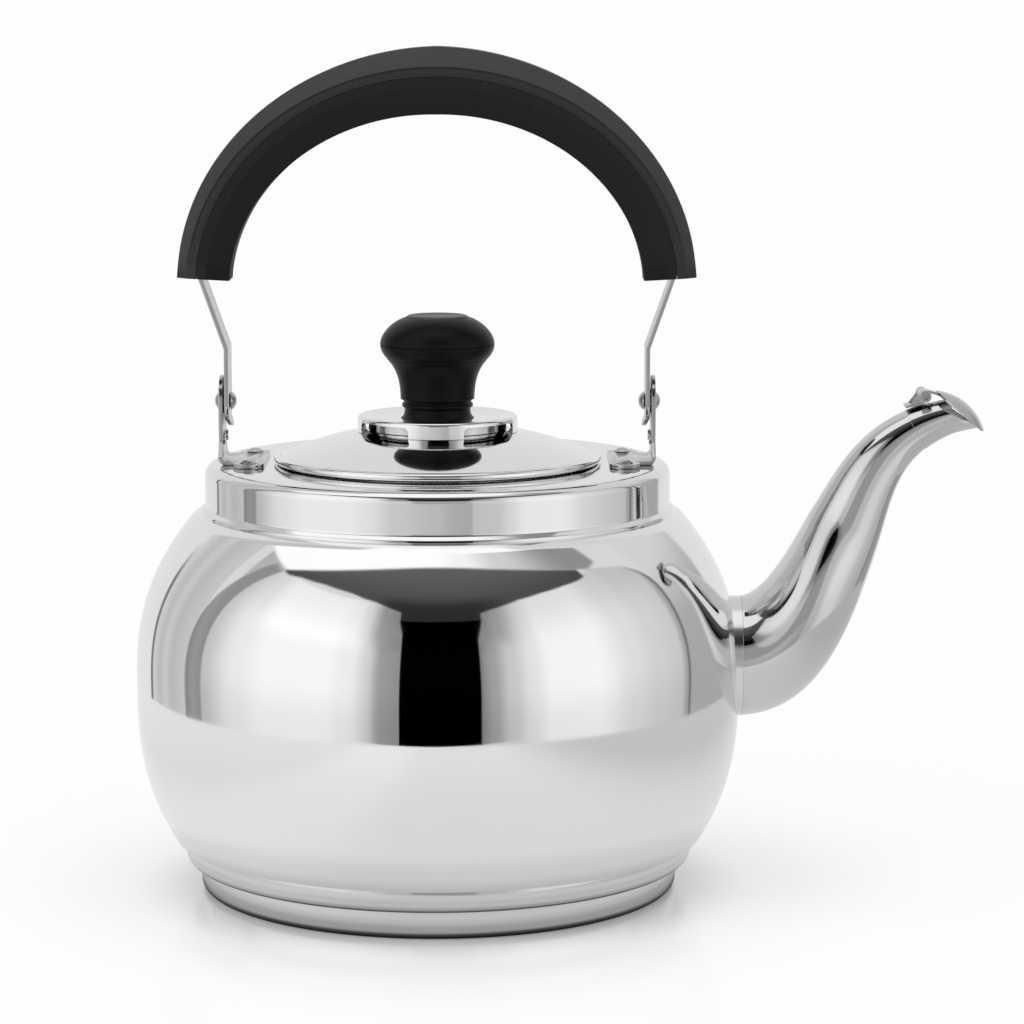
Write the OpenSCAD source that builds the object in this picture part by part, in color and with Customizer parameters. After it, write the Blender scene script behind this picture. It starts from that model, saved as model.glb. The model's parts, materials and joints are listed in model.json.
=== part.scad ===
// Stovetop kettle with a vented lid knob, a riveted swing handle and a spout flap.
// Millimetres, +Z up. The origin is on the body's axis at the table, the spout points to +X,
// and the handle swings about an axis along X.

/* [Body] */
// Greatest outside radius of the body
body_r = 110; // [109:0.5:111]
// Height of the widest ring above the table
belly_z = 77; // [76:0.5:78]
// Wall thickness of the body shell
wall = 1; // [0.9:0.05:1.1]

/* [Base] */
// Outside radius of the lower foot step
foot_r = 87; // [86.5:0.1:87.5]
// Outside radius of the upper foot step
step_r = 92.7; // [92:0.1:93]
// Height of the lower foot step
foot_h = 10.5; // [10:0.1:11]

/* [Collar] */
// Outside radius of the collar
collar_r = 84.3; // [84:0.1:84.6]
// Height of the collar's flat deck above the table
deck_z = 156; // [155:0.5:157]
// Radius of the filling opening
opening_r = 56.6; // [56.5:0.1:57]

/* [Lid] */
// Outside radius of the lid's rolled rim
lid_r = 59.4; // [59.2:0.1:59.6]
// Radius of the sphere that the lid's dome is part of
lid_dome_r = 150; // [148:1:152]
// Outside radius of the vent cap under the knob
cap_r = 29; // [28.5:0.1:29.5]
// Greatest radius of the knob
knob_r = 20.7; // [20:0.1:21]

/* [Spout] */
// Outside radius of the spout at its root
spout_root_r = 21.9; // [21.5:0.1:22.2]
// Outside radius of the spout at its mouth
spout_tip_r = 5.9; // [5.7:0.1:6.1]
// Wall thickness of the spout
spout_wall = 0.9; // [0.8:0.05:1]

/* [Flap] */
// Radius of the dished flap over the mouth
flap_r = 11.5; // [11:0.1:12]
// Outside radius of the hinge knuckles
knuckle_r = 2.1; // [2:0.05:2.2]

/* [Handle] */
// Width of the handle's steel band along Y
band_w = 18; // [17:0.5:19]
// Thickness of the handle's steel band
band_t = 1.5; // [1.4:0.05:1.6]
// Height of the handle's pivot axis above the table
pivot_z = 178.2; // [178:0.1:179]
// Radius of the pivot rivet's shank
pivot_r = 2.5; // [2.4:0.05:2.6]
// Width of the grip along Y
grip_w = 30; // [29:0.5:31]

/* [Hidden] */
$fn = 64;

// Body: the radius follows a power curve below and above the widest ring
seam_z = 19.5;
seam_draw = 13.5;
seam_power = 2.7;
shoulder_draw = 18.5;
shoulder_rise = 57;
shoulder_power = 2.45;
shoulder_top_z = 137;
neck_r = collar_r - 1.2;
neck_z = 139.5;
neck_top_z = 151;
body_steps = 26;

// Base
foot_corner = 3;
step_corner = 3.5;
cap_t = 0.8;
core_t = 6;
pan_floor_z = cap_t + core_t;

// Collar
deck_t = 1.1;
collar_corner = 4;
lip_flare = 2;
lip_z = 138.4;
opening_corner = 1.5;
opening_flange_z = 148;

// Lid
rim_gap = 0.3;
rim_bead_r = 1.7;
rim_z = deck_z + rim_gap + rim_bead_r;
lid_t = 1;
dome_edge_r = lid_r - 2.9;
dome_edge_z = deck_z + 3;
dome_centre_z = dome_edge_z - sqrt(pow(lid_dome_r, 2) - pow(dome_edge_r, 2));
skirt_r = opening_r - 0.6;
skirt_bottom_z = 149;
screw_r = 3;
screw_hole_r = 3.1;
steam_hole_r = 2.5;
steam_ring_r = 11;

// Vent cap and whistle
cap_t_lid = 1;
cap_foot_z = dome_z(cap_r) + 0.1;
cap_rim_z = 173.3;
cap_dish_z = 172;
cap_corner = 1.6;
cap_dish_r = 20;
notch_w = 24.5;
notch_top_z = 171.4;
ring_r = 25;
whistle_r = 17;
whistle_bottom_z = 160.2;
whistle_mid_z = 163.4;
whistle_hole_r = 1.6;
whistle_ring_r = 10;

// Knob
knob_foot_z = cap_dish_z;
knob_ledge_z = 178.8;
knob_parting_z = 198.8;
knob_top_z = 208.5;
knob_neck_r = 11.9;
knob_ledge_r = 13.4;
disc_r = 11.2;
disc_z = 207.6;
disc_top_z = 209.3;
screw_head_r = 5.5;
screw_top_z = 190;
washer_t = 0.8;

// Spout in the XZ plane: cubic top and bottom lines for the lower half, then a cubic centre line
spout_z = 84.3;
ferrule_x = [104, 110.6];
line_top = [[110.6, spout_z + spout_root_r], [121.7, 107.7], [132.6, 133.1], [136.9, 139.5]];
line_bottom = [[110.6, spout_z - spout_root_r], [137.2, 63.9], [149.5, 88.3], [161.3, 128.5]];
curve_high = [(line_top[3] + line_bottom[3]) / 2, [155, 147.2], [160.7, 167], [187.5, 172.8]];
spout_radii = [norm(line_top[3] - line_bottom[3]) / 2, 11.2, 9.2, spout_tip_r];
mouth_at = [189, 173.5];
mouth_tilt = 35.5;
spout_rings = 26;
spout_sides = 32;
tip_start = 1.79;
tip_t = 0.7;
tip_rings = 6;

// Flap and its hinge
hinge_at = [176.2, 180.4];
hinge_half = 7.5;
flap_knuckle_half = 3;
knuckle_gap = 0.3;
saddle_slope = 13.5;
pin_r = 1.12;
knuckle_bore_r = 1.2;
flap_at = [189.5, 174.5];
flap_tilt = 39.7;
flap_rise = 3.6;
flap_t = 0.8;
flap_sphere_r = (pow(flap_r, 2) + pow(flap_rise, 2)) / (2 * flap_rise);
flap_edge_angle = asin(flap_r / flap_sphere_r);
vent_slot = [0.9, 5, 4];
arm_t = 0.8;
arm_w = 5;
arm_inset = 3.5;

// Handle brackets
ear_x = [77.3, 78.8];
ear_t = ear_x[1] - ear_x[0];
ear_r = 9.3;
ear_foot_w = 26;
ear_bend_r = 3;
plate_t = 1.5;
plate_lobe_r = 5.5;
rivet_x = 67.5;
rivet_y = 17;
rivet_r = 2;
rivet_head_r = 3.1;
rivet_head_h = 1.4;
scallop_r = 61.2;
dimple_z = 165;
dimple_r = 2;

// Handle: the band follows an ellipse inside the grip
band_x = 75.95;
band_kink_z = 197.8;
band_tail = [74.2, 168];
band_tail_bend_z = 172.5;
arc_a = 86.2;
arc_b = 76.1;
arc_z = 219;
arc_end = 84.8;
band_fit = 0.1;
grip_end = 83;
grip_tip_end = 87;
grip_steps = 36;
grip_outer_top = 10.6;
grip_outer_end = 7.2;
grip_inner_top = 13.5;
grip_inner_end = 11.7;
grip_flat = 3.65;
land_relief = 0.1;
grip_outer_half = 8;
grip_inner_half = 9.2;
grip_tip_half = 9.8;
grip_screw_at = 32;
grip_screw_r = 1.8;
grip_screw_head_r = 3.4;
grip_screw_depth = 6;

// ---- shared shapes ----

// Points on an arc about a centre, from one angle to another
function arc(c, r, a0, a1, n = 8) =
    [for (i = [0:n]) let (a = a0 + (a1 - a0) * i / n) [c[0] + r * cos(a), c[1] + r * sin(a)]];

// A point on a cubic curve, for scalars or vectors
function cubic(p, t) =
    pow(1 - t, 3) * p[0] + 3 * t * pow(1 - t, 2) * p[1] + 3 * t * t * (1 - t) * p[2] + pow(t, 3) * p[3];

// The direction of a cubic curve
function cubic_slope(p, t) =
    let (d = 3 * pow(1 - t, 2) * (p[1] - p[0]) + 6 * t * (1 - t) * (p[2] - p[1]) + 3 * t * t * (p[3] - p[2]))
    d / norm(d);

// Points along a cubic curve
function cubic_points(p, n = 10) = [for (i = [0:n]) cubic(p, i / n)];

function reverse(list) = [for (i = [len(list) - 1:-1:0]) list[i]];

// Heights and radii of the curved shells
function shell_r(z) =
    z < belly_z
        ? body_r - seam_draw * pow((belly_z - z) / (belly_z - seam_z), seam_power)
        : body_r - shoulder_draw * pow((z - belly_z) / shoulder_rise, shoulder_power);
function dome_z(r) = dome_centre_z + sqrt(pow(lid_dome_r, 2) - pow(r, 2));

// A solid turned from an outline of [radius, height] points
module turned(outline) rotate_extrude($fn = 96) polygon(outline);

// A cylinder along X between two places
module rod_x(x0, x1, r) translate([x0, 0, 0]) rotate([0, 90, 0]) cylinder(h = x1 - x0, r = r);

// A cylinder along Y between two places
module rod_y(y0, y1, r) translate([0, y1, 0]) rotate([90, 0, 0]) cylinder(h = y1 - y0, r = r);

// A low domed rivet head standing on z = 0
module rivet_head(r, h) {
    ball = (r * r + h * h) / (2 * h);
    turned(concat([[0, 0]], arc([0, h - ball], ball, asin((ball - h) / ball), 90, 6)));
}

// A solid swept through a list of rings that each hold the same number of points
module swept(rings) {
    sides = len(rings[0]);
    last = len(rings) - 1;
    polyhedron(
        points = [for (ring = rings) for (p = ring) p],
        faces = concat(
            [[for (j = [sides - 1:-1:0]) j]],
            [for (i = [0:last - 1]) for (j = [0:sides - 1])
                let (k = (j + 1) % sides)
                [i * sides + j, i * sides + k, (i + 1) * sides + k, (i + 1) * sides + j]],
            [[for (j = [0:sides - 1]) last * sides + j]]),
        convexity = 10);
}

// ---- body ----

module body_shell() color("silver") {
    heights = [for (i = [0:body_steps]) seam_z + (shoulder_top_z - seam_z) * i / body_steps];
    outside = [for (z = heights) [shell_r(z), z]];
    inside = [for (z = reverse(heights)) [shell_r(z) - wall, z - (z > belly_z ? wall / 2 : 0)]];
    difference() {
        turned(concat(
            outside,
            [[neck_r, neck_z], [neck_r, neck_top_z], [neck_r - wall, neck_top_z], [neck_r - wall, neck_z - wall]],
            inside));
        translate([0, 0, spout_z]) rod_x(belly_z, body_r + 10, spout_root_r);
    }
}

module base_pan() color("silver") {
    edge_r = shell_r(seam_z) - wall;
    inner_r = step_r - wall;
    turned(concat(
        [[0, pan_floor_z], [foot_r - cap_t, pan_floor_z], [foot_r - cap_t, foot_h]],
        arc([step_r - step_corner, foot_h + step_corner], step_corner, -90, 0),
        [[step_r, seam_z], [edge_r, seam_z], [edge_r, seam_z + wall], [inner_r, seam_z + wall]],
        arc([step_r - step_corner, foot_h + step_corner], step_corner - wall, 0, -90),
        [[foot_r - cap_t - wall, foot_h + wall], [foot_r - cap_t - wall, pan_floor_z + wall], [0, pan_floor_z + wall]]));
}

module base_core() color("lightgray") {
    turned(concat(
        [[0, cap_t]],
        arc([foot_r - foot_corner, foot_corner], foot_corner - cap_t, -90, 0),
        [[foot_r - cap_t, pan_floor_z], [0, pan_floor_z]]));
}

module base_cap() color("silver") {
    turned(concat(
        [[0, 0]],
        arc([foot_r - foot_corner, foot_corner], foot_corner, -90, 0),
        [[foot_r, foot_h], [foot_r - cap_t, foot_h]],
        arc([foot_r - foot_corner, foot_corner], foot_corner - cap_t, 0, -90),
        [[0, cap_t]]));
}

module collar() color("silver") {
    difference() {
        turned(concat(
            [[collar_r + lip_flare, lip_z], [collar_r, lip_z + lip_flare]],
            arc([collar_r - collar_corner, deck_z - collar_corner], collar_corner, 0, 90),
            arc([opening_r + opening_corner, deck_z - opening_corner], opening_corner, 90, 180),
            [[opening_r, opening_flange_z], [opening_r + deck_t, opening_flange_z]],
            [[opening_r + deck_t, deck_z - deck_t], [collar_r - collar_corner, deck_z - deck_t]],
            arc([collar_r - collar_corner, deck_z - collar_corner], collar_corner - deck_t, 90, 0),
            [[neck_r, neck_z], [neck_r + 1, lip_z]]));
        each_rivet() translate([0, 0, deck_z - 5]) cylinder(h = 10, r = rivet_r);
    }
}

// ---- spout ----

// From the bottom line to the top line of the spout's lower half
function spout_across(u) = cubic(line_top, u) - cubic(line_bottom, u);

// Centre, direction and radius of the spout, where u runs from 0 at the root to 2 at the mouth
function spout_centre(u) = u < 1 ? (cubic(line_top, u) + cubic(line_bottom, u)) / 2 : cubic(curve_high, u - 1);
function spout_slope(u) =
    u < 1 ? let (n = spout_across(u)) [n[1], -n[0]] / norm(n) : cubic_slope(curve_high, u - 1);
function spout_r(u) = u < 1 ? norm(spout_across(u)) / 2 : cubic(spout_radii, u - 1);

// One ring of the spout, square to its curve
function spout_ring(u, extra) =
    let (c = spout_centre(u), d = spout_slope(u), r = spout_r(u) + extra)
    [for (j = [0:spout_sides - 1])
        let (a = 360 * j / spout_sides)
        [c[0] - d[1] * r * cos(a), r * sin(a), c[1] + d[0] * r * cos(a)]];

// The last ring, carried along the curve's direction to the slanted plane of the mouth
function mouth_ring(extra) =
    let (d = spout_slope(2), n = [sin(mouth_tilt), cos(mouth_tilt)])
    [for (p = spout_ring(2, extra))
        let (gap = ([mouth_at[0] - p[0], mouth_at[1] - p[2]] * n) / (d * n))
        [p[0] + d[0] * gap, p[1], p[2] + d[1] * gap]];

function spout_rings_from(u0, n, extra) =
    concat([for (i = [0:n - 1]) spout_ring(u0 + (2 - u0) * i / n, extra)], [mouth_ring(extra)]);

// A hollow length of spout: the outer rings outwards, then the inner rings back, closed on itself
module spout_tube(u0, n, outer, inner) {
    rings = concat(spout_rings_from(u0, n, outer), reverse(spout_rings_from(u0, n, inner)));
    sides = spout_sides;
    count = len(rings);
    polyhedron(
        points = [for (ring = rings) for (p = ring) p],
        faces = [for (i = [0:count - 1]) for (j = [0:sides - 1])
            let (k = (j + 1) % sides, m = (i + 1) % count)
            [i * sides + j, i * sides + k, m * sides + k, m * sides + j]],
        convexity = 10);
}

module spout() color("silver") spout_tube(0, spout_rings, 0, -spout_wall);

module spout_ferrule() color("silver") {
    translate([0, 0, spout_z]) difference() {
        rod_x(ferrule_x[0], ferrule_x[1], spout_root_r);
        rod_x(ferrule_x[0] - 1, ferrule_x[1] + 1, spout_root_r - spout_wall);
    }
}

module spout_tip() color("silver") spout_tube(tip_start, tip_rings, tip_t, 0);

// ---- flap ----

// Everything at the flap's hinge is drawn about the pin's axis
module at_hinge() translate([hinge_at[0], 0, hinge_at[1]]) children();

module knuckle(y0, y1) rod_y(y0, y1, knuckle_r);

// One folded strip: a saddle plate on the spout's tip, two risers and the two outer knuckles
module hinge_bracket() color("silver") {
    riser = [[-6.5, -4.6], [-5.2, -3.4], [-1.6, 1.3], [1.4, 1.5], [2, -1], [-0.6, -3.2]];
    saddle_w = 2 * (flap_knuckle_half + knuckle_gap + arm_t);
    at_hinge() difference() {
        union() {
            for (side = [-1, 1]) {
                y0 = side < 0 ? -hinge_half : flap_knuckle_half + knuckle_gap;
                y1 = side < 0 ? -flap_knuckle_half - knuckle_gap : hinge_half;
                knuckle(y0, y1);
                translate([0, side < 0 ? y1 : y0 + arm_t, 0])
                    rotate([90, 0, 0]) linear_extrude(height = arm_t) polygon(riser);
            }
            translate([-6.7, -saddle_w / 2, -4.55]) rotate([0, -saddle_slope, 0])
                cube([6.2, saddle_w, arm_t]);
        }
        rod_y(-hinge_half - 1, hinge_half + 1, pin_r);
    }
}

module flap_pin() color("silver") at_hinge() rod_y(-hinge_half + 0.7, hinge_half - 0.7, pin_r);

module flap() color("silver") {
    arm_from = [hinge_at[0] + 0.9, hinge_at[1] + knuckle_r - arm_t];
    along = [cos(flap_tilt), -sin(flap_tilt)];
    outward = [sin(flap_tilt), cos(flap_tilt)];
    arm_to = flap_at - arm_inset * along + (flap_rise - flap_t - 0.4) * outward;
    arm_up = [-(arm_to - arm_from)[1], (arm_to - arm_from)[0]] / norm(arm_to - arm_from) * arm_t;
    difference() {
        union() {
            translate([flap_at[0], 0, flap_at[1]]) rotate([0, flap_tilt, 0]) difference() {
                turned(concat(
                    arc([0, flap_rise - flap_sphere_r], flap_sphere_r, 90 - flap_edge_angle, 90, 10),
                    arc([0, flap_rise - flap_sphere_r], flap_sphere_r - flap_t, 90, 90 - flap_edge_angle, 10)));
                translate([flap_r / 2, 0, flap_rise]) cube(vent_slot, center = true);
            }
            at_hinge() knuckle(-flap_knuckle_half, flap_knuckle_half);
            translate([0, arm_w / 2, 0]) rotate([90, 0, 0]) linear_extrude(height = arm_w)
                polygon([arm_from, arm_to, arm_to + arm_up, arm_from + arm_up]);
        }
        at_hinge() rod_y(-hinge_half, hinge_half, knuckle_bore_r);
    }
}

// ---- handle brackets ----

module each_rivet() {
    for (x = [-rivet_x, rivet_x]) for (y = [-rivet_y, rivet_y]) translate([x, y, 0]) children();
}

// The bracket on the +X side: a riveted plate on the deck, a bend and an upright ear
module bracket() color("silver") {
    bend_x = ear_x[1] - ear_bend_r;
    bend_z = deck_z + ear_bend_r;
    difference() {
        union() {
            difference() {
                translate([0, 0, deck_z]) union() {
                    for (y = [-rivet_y, rivet_y]) translate([rivet_x, y, 0]) cylinder(h = plate_t, r = plate_lobe_r);
                    translate([rivet_x, -rivet_y - plate_lobe_r, 0]) cube([4, 2 * (rivet_y + plate_lobe_r), plate_t]);
                    translate([rivet_x - plate_lobe_r, -rivet_y, 0]) cube([plate_lobe_r + 4, 2 * rivet_y, plate_t]);
                    translate([rivet_x + 3, -ear_foot_w / 2, 0]) cube([bend_x - rivet_x - 3, ear_foot_w, plate_t]);
                }
                translate([0, 0, deck_z - 1]) cylinder(h = plate_t + 2, r = scallop_r);
                each_rivet() translate([0, 0, deck_z - 1]) cylinder(h = plate_t + 2, r = rivet_r);
            }
            translate([bend_x, 0, bend_z]) intersection() {
                difference() {
                    rod_y(-ear_foot_w / 2, ear_foot_w / 2, ear_bend_r);
                    rod_y(-ear_foot_w, ear_foot_w, ear_bend_r - ear_t);
                }
                translate([0, -ear_foot_w, -2 * ear_bend_r]) cube([2 * ear_bend_r, 2 * ear_foot_w, 2 * ear_bend_r]);
            }
            translate([ear_x[0], 0, 0]) rotate([90, 0, 90]) linear_extrude(height = ear_t)
                polygon([[-ear_foot_w / 2, bend_z], [ear_foot_w / 2, bend_z], [ear_r - 1, dimple_z - 1],
                    [ear_r, pivot_z], [-ear_r, pivot_z], [1 - ear_r, dimple_z - 1]]);
            translate([0, 0, pivot_z]) rod_x(ear_x[0], ear_x[1], ear_r);
            for (y = [-ear_r + 3, ear_r - 3]) translate([ear_x[0] - 0.8, y, dimple_z]) rotate([0, 90, 0])
                ear_boss();
        }
        translate([0, 0, pivot_z]) rod_x(ear_x[0] - 1, ear_x[1] + 1, pivot_r);
    }
}

// A small stiffening boss pressed into the ear
module ear_boss() cylinder(h = 1, r = dimple_r);

module bracket_right() bracket();

module bracket_left() mirror([1, 0, 0]) bracket();

module bracket_rivets() color("gainsboro") each_rivet() {
    translate([0, 0, deck_z + plate_t]) rivet_head(rivet_head_r, rivet_head_h);
    translate([0, 0, deck_z - deck_t - 0.5]) cylinder(h = plate_t + deck_t + 1, r = rivet_r);
    translate([0, 0, deck_z - deck_t]) mirror([0, 0, 1]) rivet_head(rivet_head_r, rivet_head_h);
}

// The pivot rivet on the +X side, with a domed head at each end
module pivot_rivet() color("gainsboro") translate([0, 0, pivot_z]) {
    inner_x = band_x - band_t / 2 - 0.3;
    head_r = 3.4;
    rod_x(inner_x, ear_x[1] + 0.2, pivot_r);
    translate([inner_x, 0, 0]) rotate([0, -90, 0]) rivet_head(head_r, 2.1);
    translate([ear_x[1], 0, 0]) rotate([0, 90, 0]) rivet_head(head_r, 1.9);
}

module pivot_rivet_right() pivot_rivet();

module pivot_rivet_left() mirror([1, 0, 0]) pivot_rivet();

module pivot_washers() color("gainsboro") {
    gap = [band_x + band_t / 2, ear_x[0]];
    for (side = [0, 1]) mirror([side, 0, 0]) translate([0, 0, pivot_z]) difference() {
        rod_x(gap[0] + 0.15, gap[1], pivot_r + 2);
        rod_x(gap[0], gap[1] + 1, pivot_r);
    }
}

// ---- handle ----

// Centre line of the handle, where a runs from 0 at the top to 90 level with the arc's centre
function arc_point(a) = [arc_a * sin(a), arc_z + arc_b * cos(a)];
function arc_normal(a) = let (n = [arc_b * sin(a), arc_a * cos(a)]) n / norm(n);

// Normal of a path at one of its points, square to the line between its neighbours
function path_normal(p, i) =
    let (d = p[min(i + 1, len(p) - 1)] - p[max(i - 1, 0)])
    [-d[1], d[0]] / norm(d);

module handle_band() color("silver") {
    side = [band_tail, [band_x, band_tail_bend_z], [band_x, band_kink_z]];
    over = [for (i = [-grip_steps / 2:grip_steps / 2]) arc_point(-arc_end * 2 * i / grip_steps)];
    path = concat(side, over, [for (p = reverse(side)) [-p[0], p[1]]]);
    edge = [for (i = [0:len(path) - 1]) path_normal(path, i) * band_t / 2];
    difference() {
        intersection() {
            translate([0, band_w / 2, 0]) rotate([90, 0, 0]) linear_extrude(height = band_w)
                polygon(concat(
                    [for (i = [0:len(path) - 1]) path[i] + edge[i]],
                    [for (i = [len(path) - 1:-1:0]) path[i] - edge[i]]));
            union() {
                translate([-2 * body_r, -body_r, pivot_z]) cube([4 * body_r, 2 * body_r, 2 * body_r]);
                translate([0, 0, pivot_z]) rod_x(-body_r, body_r, band_w / 2);
            }
        }
        translate([0, 0, pivot_z]) rod_x(-body_r, body_r, pivot_r + 0.08);
        each_grip_screw() cylinder(h = 8, r = grip_screw_r, center = true);
    }
}

// A frame at each grip screw, with Z along the outward normal of the arc
module each_grip_screw() {
    for (a = [-grip_screw_at, grip_screw_at]) {
        p = arc_point(a);
        n = arc_normal(a);
        translate([p[0], 0, p[1]]) rotate([0, atan2(n[0], n[1]), 0]) children();
    }
}

// Share of the way from the top of the grip to its end
function grip_share(a) = min(abs(a) / grip_end, 1);
function grip_up(a) = grip_outer_top + (grip_outer_end - grip_outer_top) * grip_share(a);
function grip_down(a) = grip_inner_top + (grip_inner_end - grip_inner_top) * grip_share(a);
function grip_half(a) = abs(a) > grip_end ? grip_tip_half : grip_w / 2;

// Angles of the grip's rings, with the two bevelled tips last
grip_angles = concat(
    [-grip_tip_end],
    [for (i = [-grip_steps / 2:grip_steps / 2]) grip_end * 2 * i / grip_steps],
    [grip_tip_end]);

// A ring of the grip at an angle, from a section of [y, outward distance] points
function grip_ring(a, section) =
    let (p = arc_point(a), n = arc_normal(a))
    [for (s = section) [p[0] + n[0] * s[1], s[0], p[1] + n[1] * s[1]]];

function outer_section(a) =
    let (h = grip_half(a), s = band_w / 2 + band_fit, t = band_t / 2 + band_fit, r = grip_up(a))
    [[-h, 0], [-h, grip_flat], [-grip_outer_half, r], [grip_outer_half, r], [h, grip_flat], [h, 0],
        [s, land_relief], [s, t], [-s, t], [-s, land_relief]];

function inner_section(a) =
    let (h = grip_half(a), s = band_w / 2 + band_fit, t = band_t / 2 + band_fit, r = grip_down(a))
    [[-h, 0], [-s, -land_relief], [-s, -t], [s, -t], [s, -land_relief], [h, 0], [h, -grip_flat],
        [grip_inner_half, -r], [-grip_inner_half, -r], [-h, -grip_flat]];

module grip_outer() color([0.12, 0.12, 0.12]) {
    difference() {
        swept([for (a = grip_angles) grip_ring(a, outer_section(a))]);
        each_grip_screw() cylinder(h = 2 * grip_screw_depth, r = grip_screw_r, center = true);
    }
}

module grip_inner() color([0.12, 0.12, 0.12]) {
    difference() {
        swept([for (a = grip_angles) grip_ring(a, inner_section(a))]);
        each_grip_screw() cylinder(h = 3 * grip_screw_depth, r = grip_screw_r, center = true);
        each_grip_screw() translate([0, 0, -2 * grip_inner_top])
            cylinder(h = 2 * grip_inner_top - grip_screw_depth, r = grip_screw_head_r);
    }
}

module grip_screws() color("gainsboro") each_grip_screw() {
    translate([0, 0, -grip_screw_depth]) cylinder(h = 2 * grip_screw_depth - 0.2, r = grip_screw_r);
    translate([0, 0, -grip_screw_depth - 2]) difference() {
        cylinder(h = 2, r = grip_screw_head_r - 0.2);
        translate([0, 0, -1]) cylinder(h = 2, r = 1.2, $fn = 6);
    }
}

// ---- lid ----

module steam_holes(z, r, ring) {
    for (a = [45:90:315]) rotate([0, 0, a]) translate([ring, 0, z]) cylinder(h = 20, r = r);
}

module lid_dome() color("silver") {
    radii = [for (i = [0:12]) screw_hole_r + (dome_edge_r - screw_hole_r) * i / 12];
    inner_dome = pow(lid_dome_r - lid_t, 2);
    difference() {
        union() {
            turned(concat(
                [for (r = radii) [r, dome_z(r)]],
                [for (r = reverse(radii)) [r, dome_centre_z + sqrt(inner_dome - r * r)]]));
            translate([0, 0, rim_z]) rotate_extrude($fn = 96) translate([lid_r - rim_bead_r, 0]) circle(r = rim_bead_r);
        }
        steam_holes(dome_edge_z, steam_hole_r, steam_ring_r);
    }
}

module lid_skirt() color("silver") {
    turned([[skirt_r - lid_t, skirt_bottom_z], [skirt_r, skirt_bottom_z], [skirt_r, rim_z - 0.1],
        [skirt_r - lid_t, rim_z - 0.1]]);
}

module vent_cap() color("silver") {
    difference() {
        turned(concat(
            [[screw_hole_r, cap_dish_z - cap_t_lid], [cap_dish_r, cap_dish_z - cap_t_lid]],
            [[cap_r - cap_corner, cap_rim_z - cap_t_lid - 0.3], [cap_r - cap_t_lid, cap_rim_z - cap_corner - 0.4]],
            [[cap_r - cap_t_lid, cap_foot_z], [cap_r, cap_foot_z]],
            arc([cap_r - cap_corner, cap_rim_z - cap_corner], cap_corner, 0, 100),
            [[cap_dish_r, cap_dish_z], [screw_hole_r, cap_dish_z]]));
        for (a = [45:90:315]) rotate([0, 0, a]) translate([cap_r, 0, notch_top_z - 5])
            cube([14, notch_w, 10], center = true);
    }
}

module vent_ring() color("silver") {
    difference() {
        turned([[ring_r - 1, dome_z(ring_r - 1) + 0.1], [ring_r, dome_z(ring_r) + 0.2],
            [ring_r, cap_dish_z - cap_t_lid - 0.05], [ring_r - 1, cap_dish_z - cap_t_lid - 0.05]]);
        for (a = [15:30:345]) rotate([0, 0, a]) translate([ring_r, 0, 169.7]) rotate([0, 90, 0])
            cylinder(h = 6, r = 0.7, center = true);
    }
}

module whistle_housing() color("silver") {
    turned([[whistle_r - 1, whistle_bottom_z], [whistle_r, whistle_bottom_z],
        [whistle_r, dome_z(whistle_r) - lid_t - 0.05], [whistle_r - 1, dome_z(whistle_r) - lid_t - 0.05]]);
}

// A whistle plate with a hole for the screw and a ring of whistle holes
module whistle_plate(z, r) color("gainsboro") {
    difference() {
        translate([0, 0, z]) cylinder(h = 1, r = r);
        translate([0, 0, z - 1]) cylinder(h = 3, r = screw_hole_r);
        steam_holes(z - 5, whistle_hole_r, whistle_ring_r);
    }
}

module whistle_plate_lower() whistle_plate(whistle_bottom_z - 1, whistle_r);

module whistle_plate_upper() whistle_plate(whistle_mid_z, whistle_r - 1);

module knob_bore() translate([0, 0, knob_foot_z - 5]) cylinder(h = screw_top_z - knob_foot_z + 5.5, r = screw_hole_r);

module knob_collar() color([0.12, 0.12, 0.12]) {
    neck = [[13.3, knob_foot_z], [knob_neck_r + 0.3, knob_foot_z + 1.2], [knob_neck_r, knob_foot_z + 3.6]];
    bead = arc([knob_neck_r, knob_foot_z + 4.8], 1, -60, 60, 6);
    difference() {
        turned(concat([[0, knob_foot_z]], neck, bead, [[knob_neck_r + 0.6, knob_ledge_z], [0, knob_ledge_z]]));
        knob_bore();
    }
}

module knob_stem() color([0.12, 0.12, 0.12]) {
    flare = cubic_points([[knob_ledge_r, knob_ledge_z], [13.2, 189], [knob_r + 0.1, 195.5], [knob_r, knob_parting_z]]);
    difference() {
        turned(concat([[0, knob_ledge_z]], flare, [[0, knob_parting_z]]));
        knob_bore();
    }
}

module knob_cap() color([0.12, 0.12, 0.12]) {
    crown = cubic_points([[knob_r, knob_parting_z], [knob_r, 202.5], [16.5, 207], [disc_r + 0.4, knob_top_z]]);
    turned(concat([[0, knob_parting_z]], crown, [[disc_r, knob_top_z], [disc_r, disc_z], [0, disc_z]]));
}

module knob_disc() color([0.15, 0.15, 0.15]) {
    turned([[0, disc_z], [disc_r, disc_z], [disc_r, knob_top_z + 0.3], [disc_r - 0.6, disc_top_z], [0, disc_top_z]]);
}

module knob_screw() color("gainsboro") {
    head_z = whistle_bottom_z - 1 - washer_t;
    translate([0, 0, head_z]) cylinder(h = screw_top_z - head_z, r = screw_r);
    difference() {
        translate([0, 0, head_z - 3.4]) cylinder(h = 3.4, r = screw_head_r);
        translate([0, 0, head_z - 4]) cylinder(h = 2.6, r = 2.5, $fn = 6);
    }
}

module knob_washer() color("gainsboro") {
    difference() {
        translate([0, 0, whistle_bottom_z - 1 - washer_t]) cylinder(h = washer_t, r = 7.5);
        translate([0, 0, whistle_bottom_z - 5]) cylinder(h = 6, r = screw_hole_r);
    }
}

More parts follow.
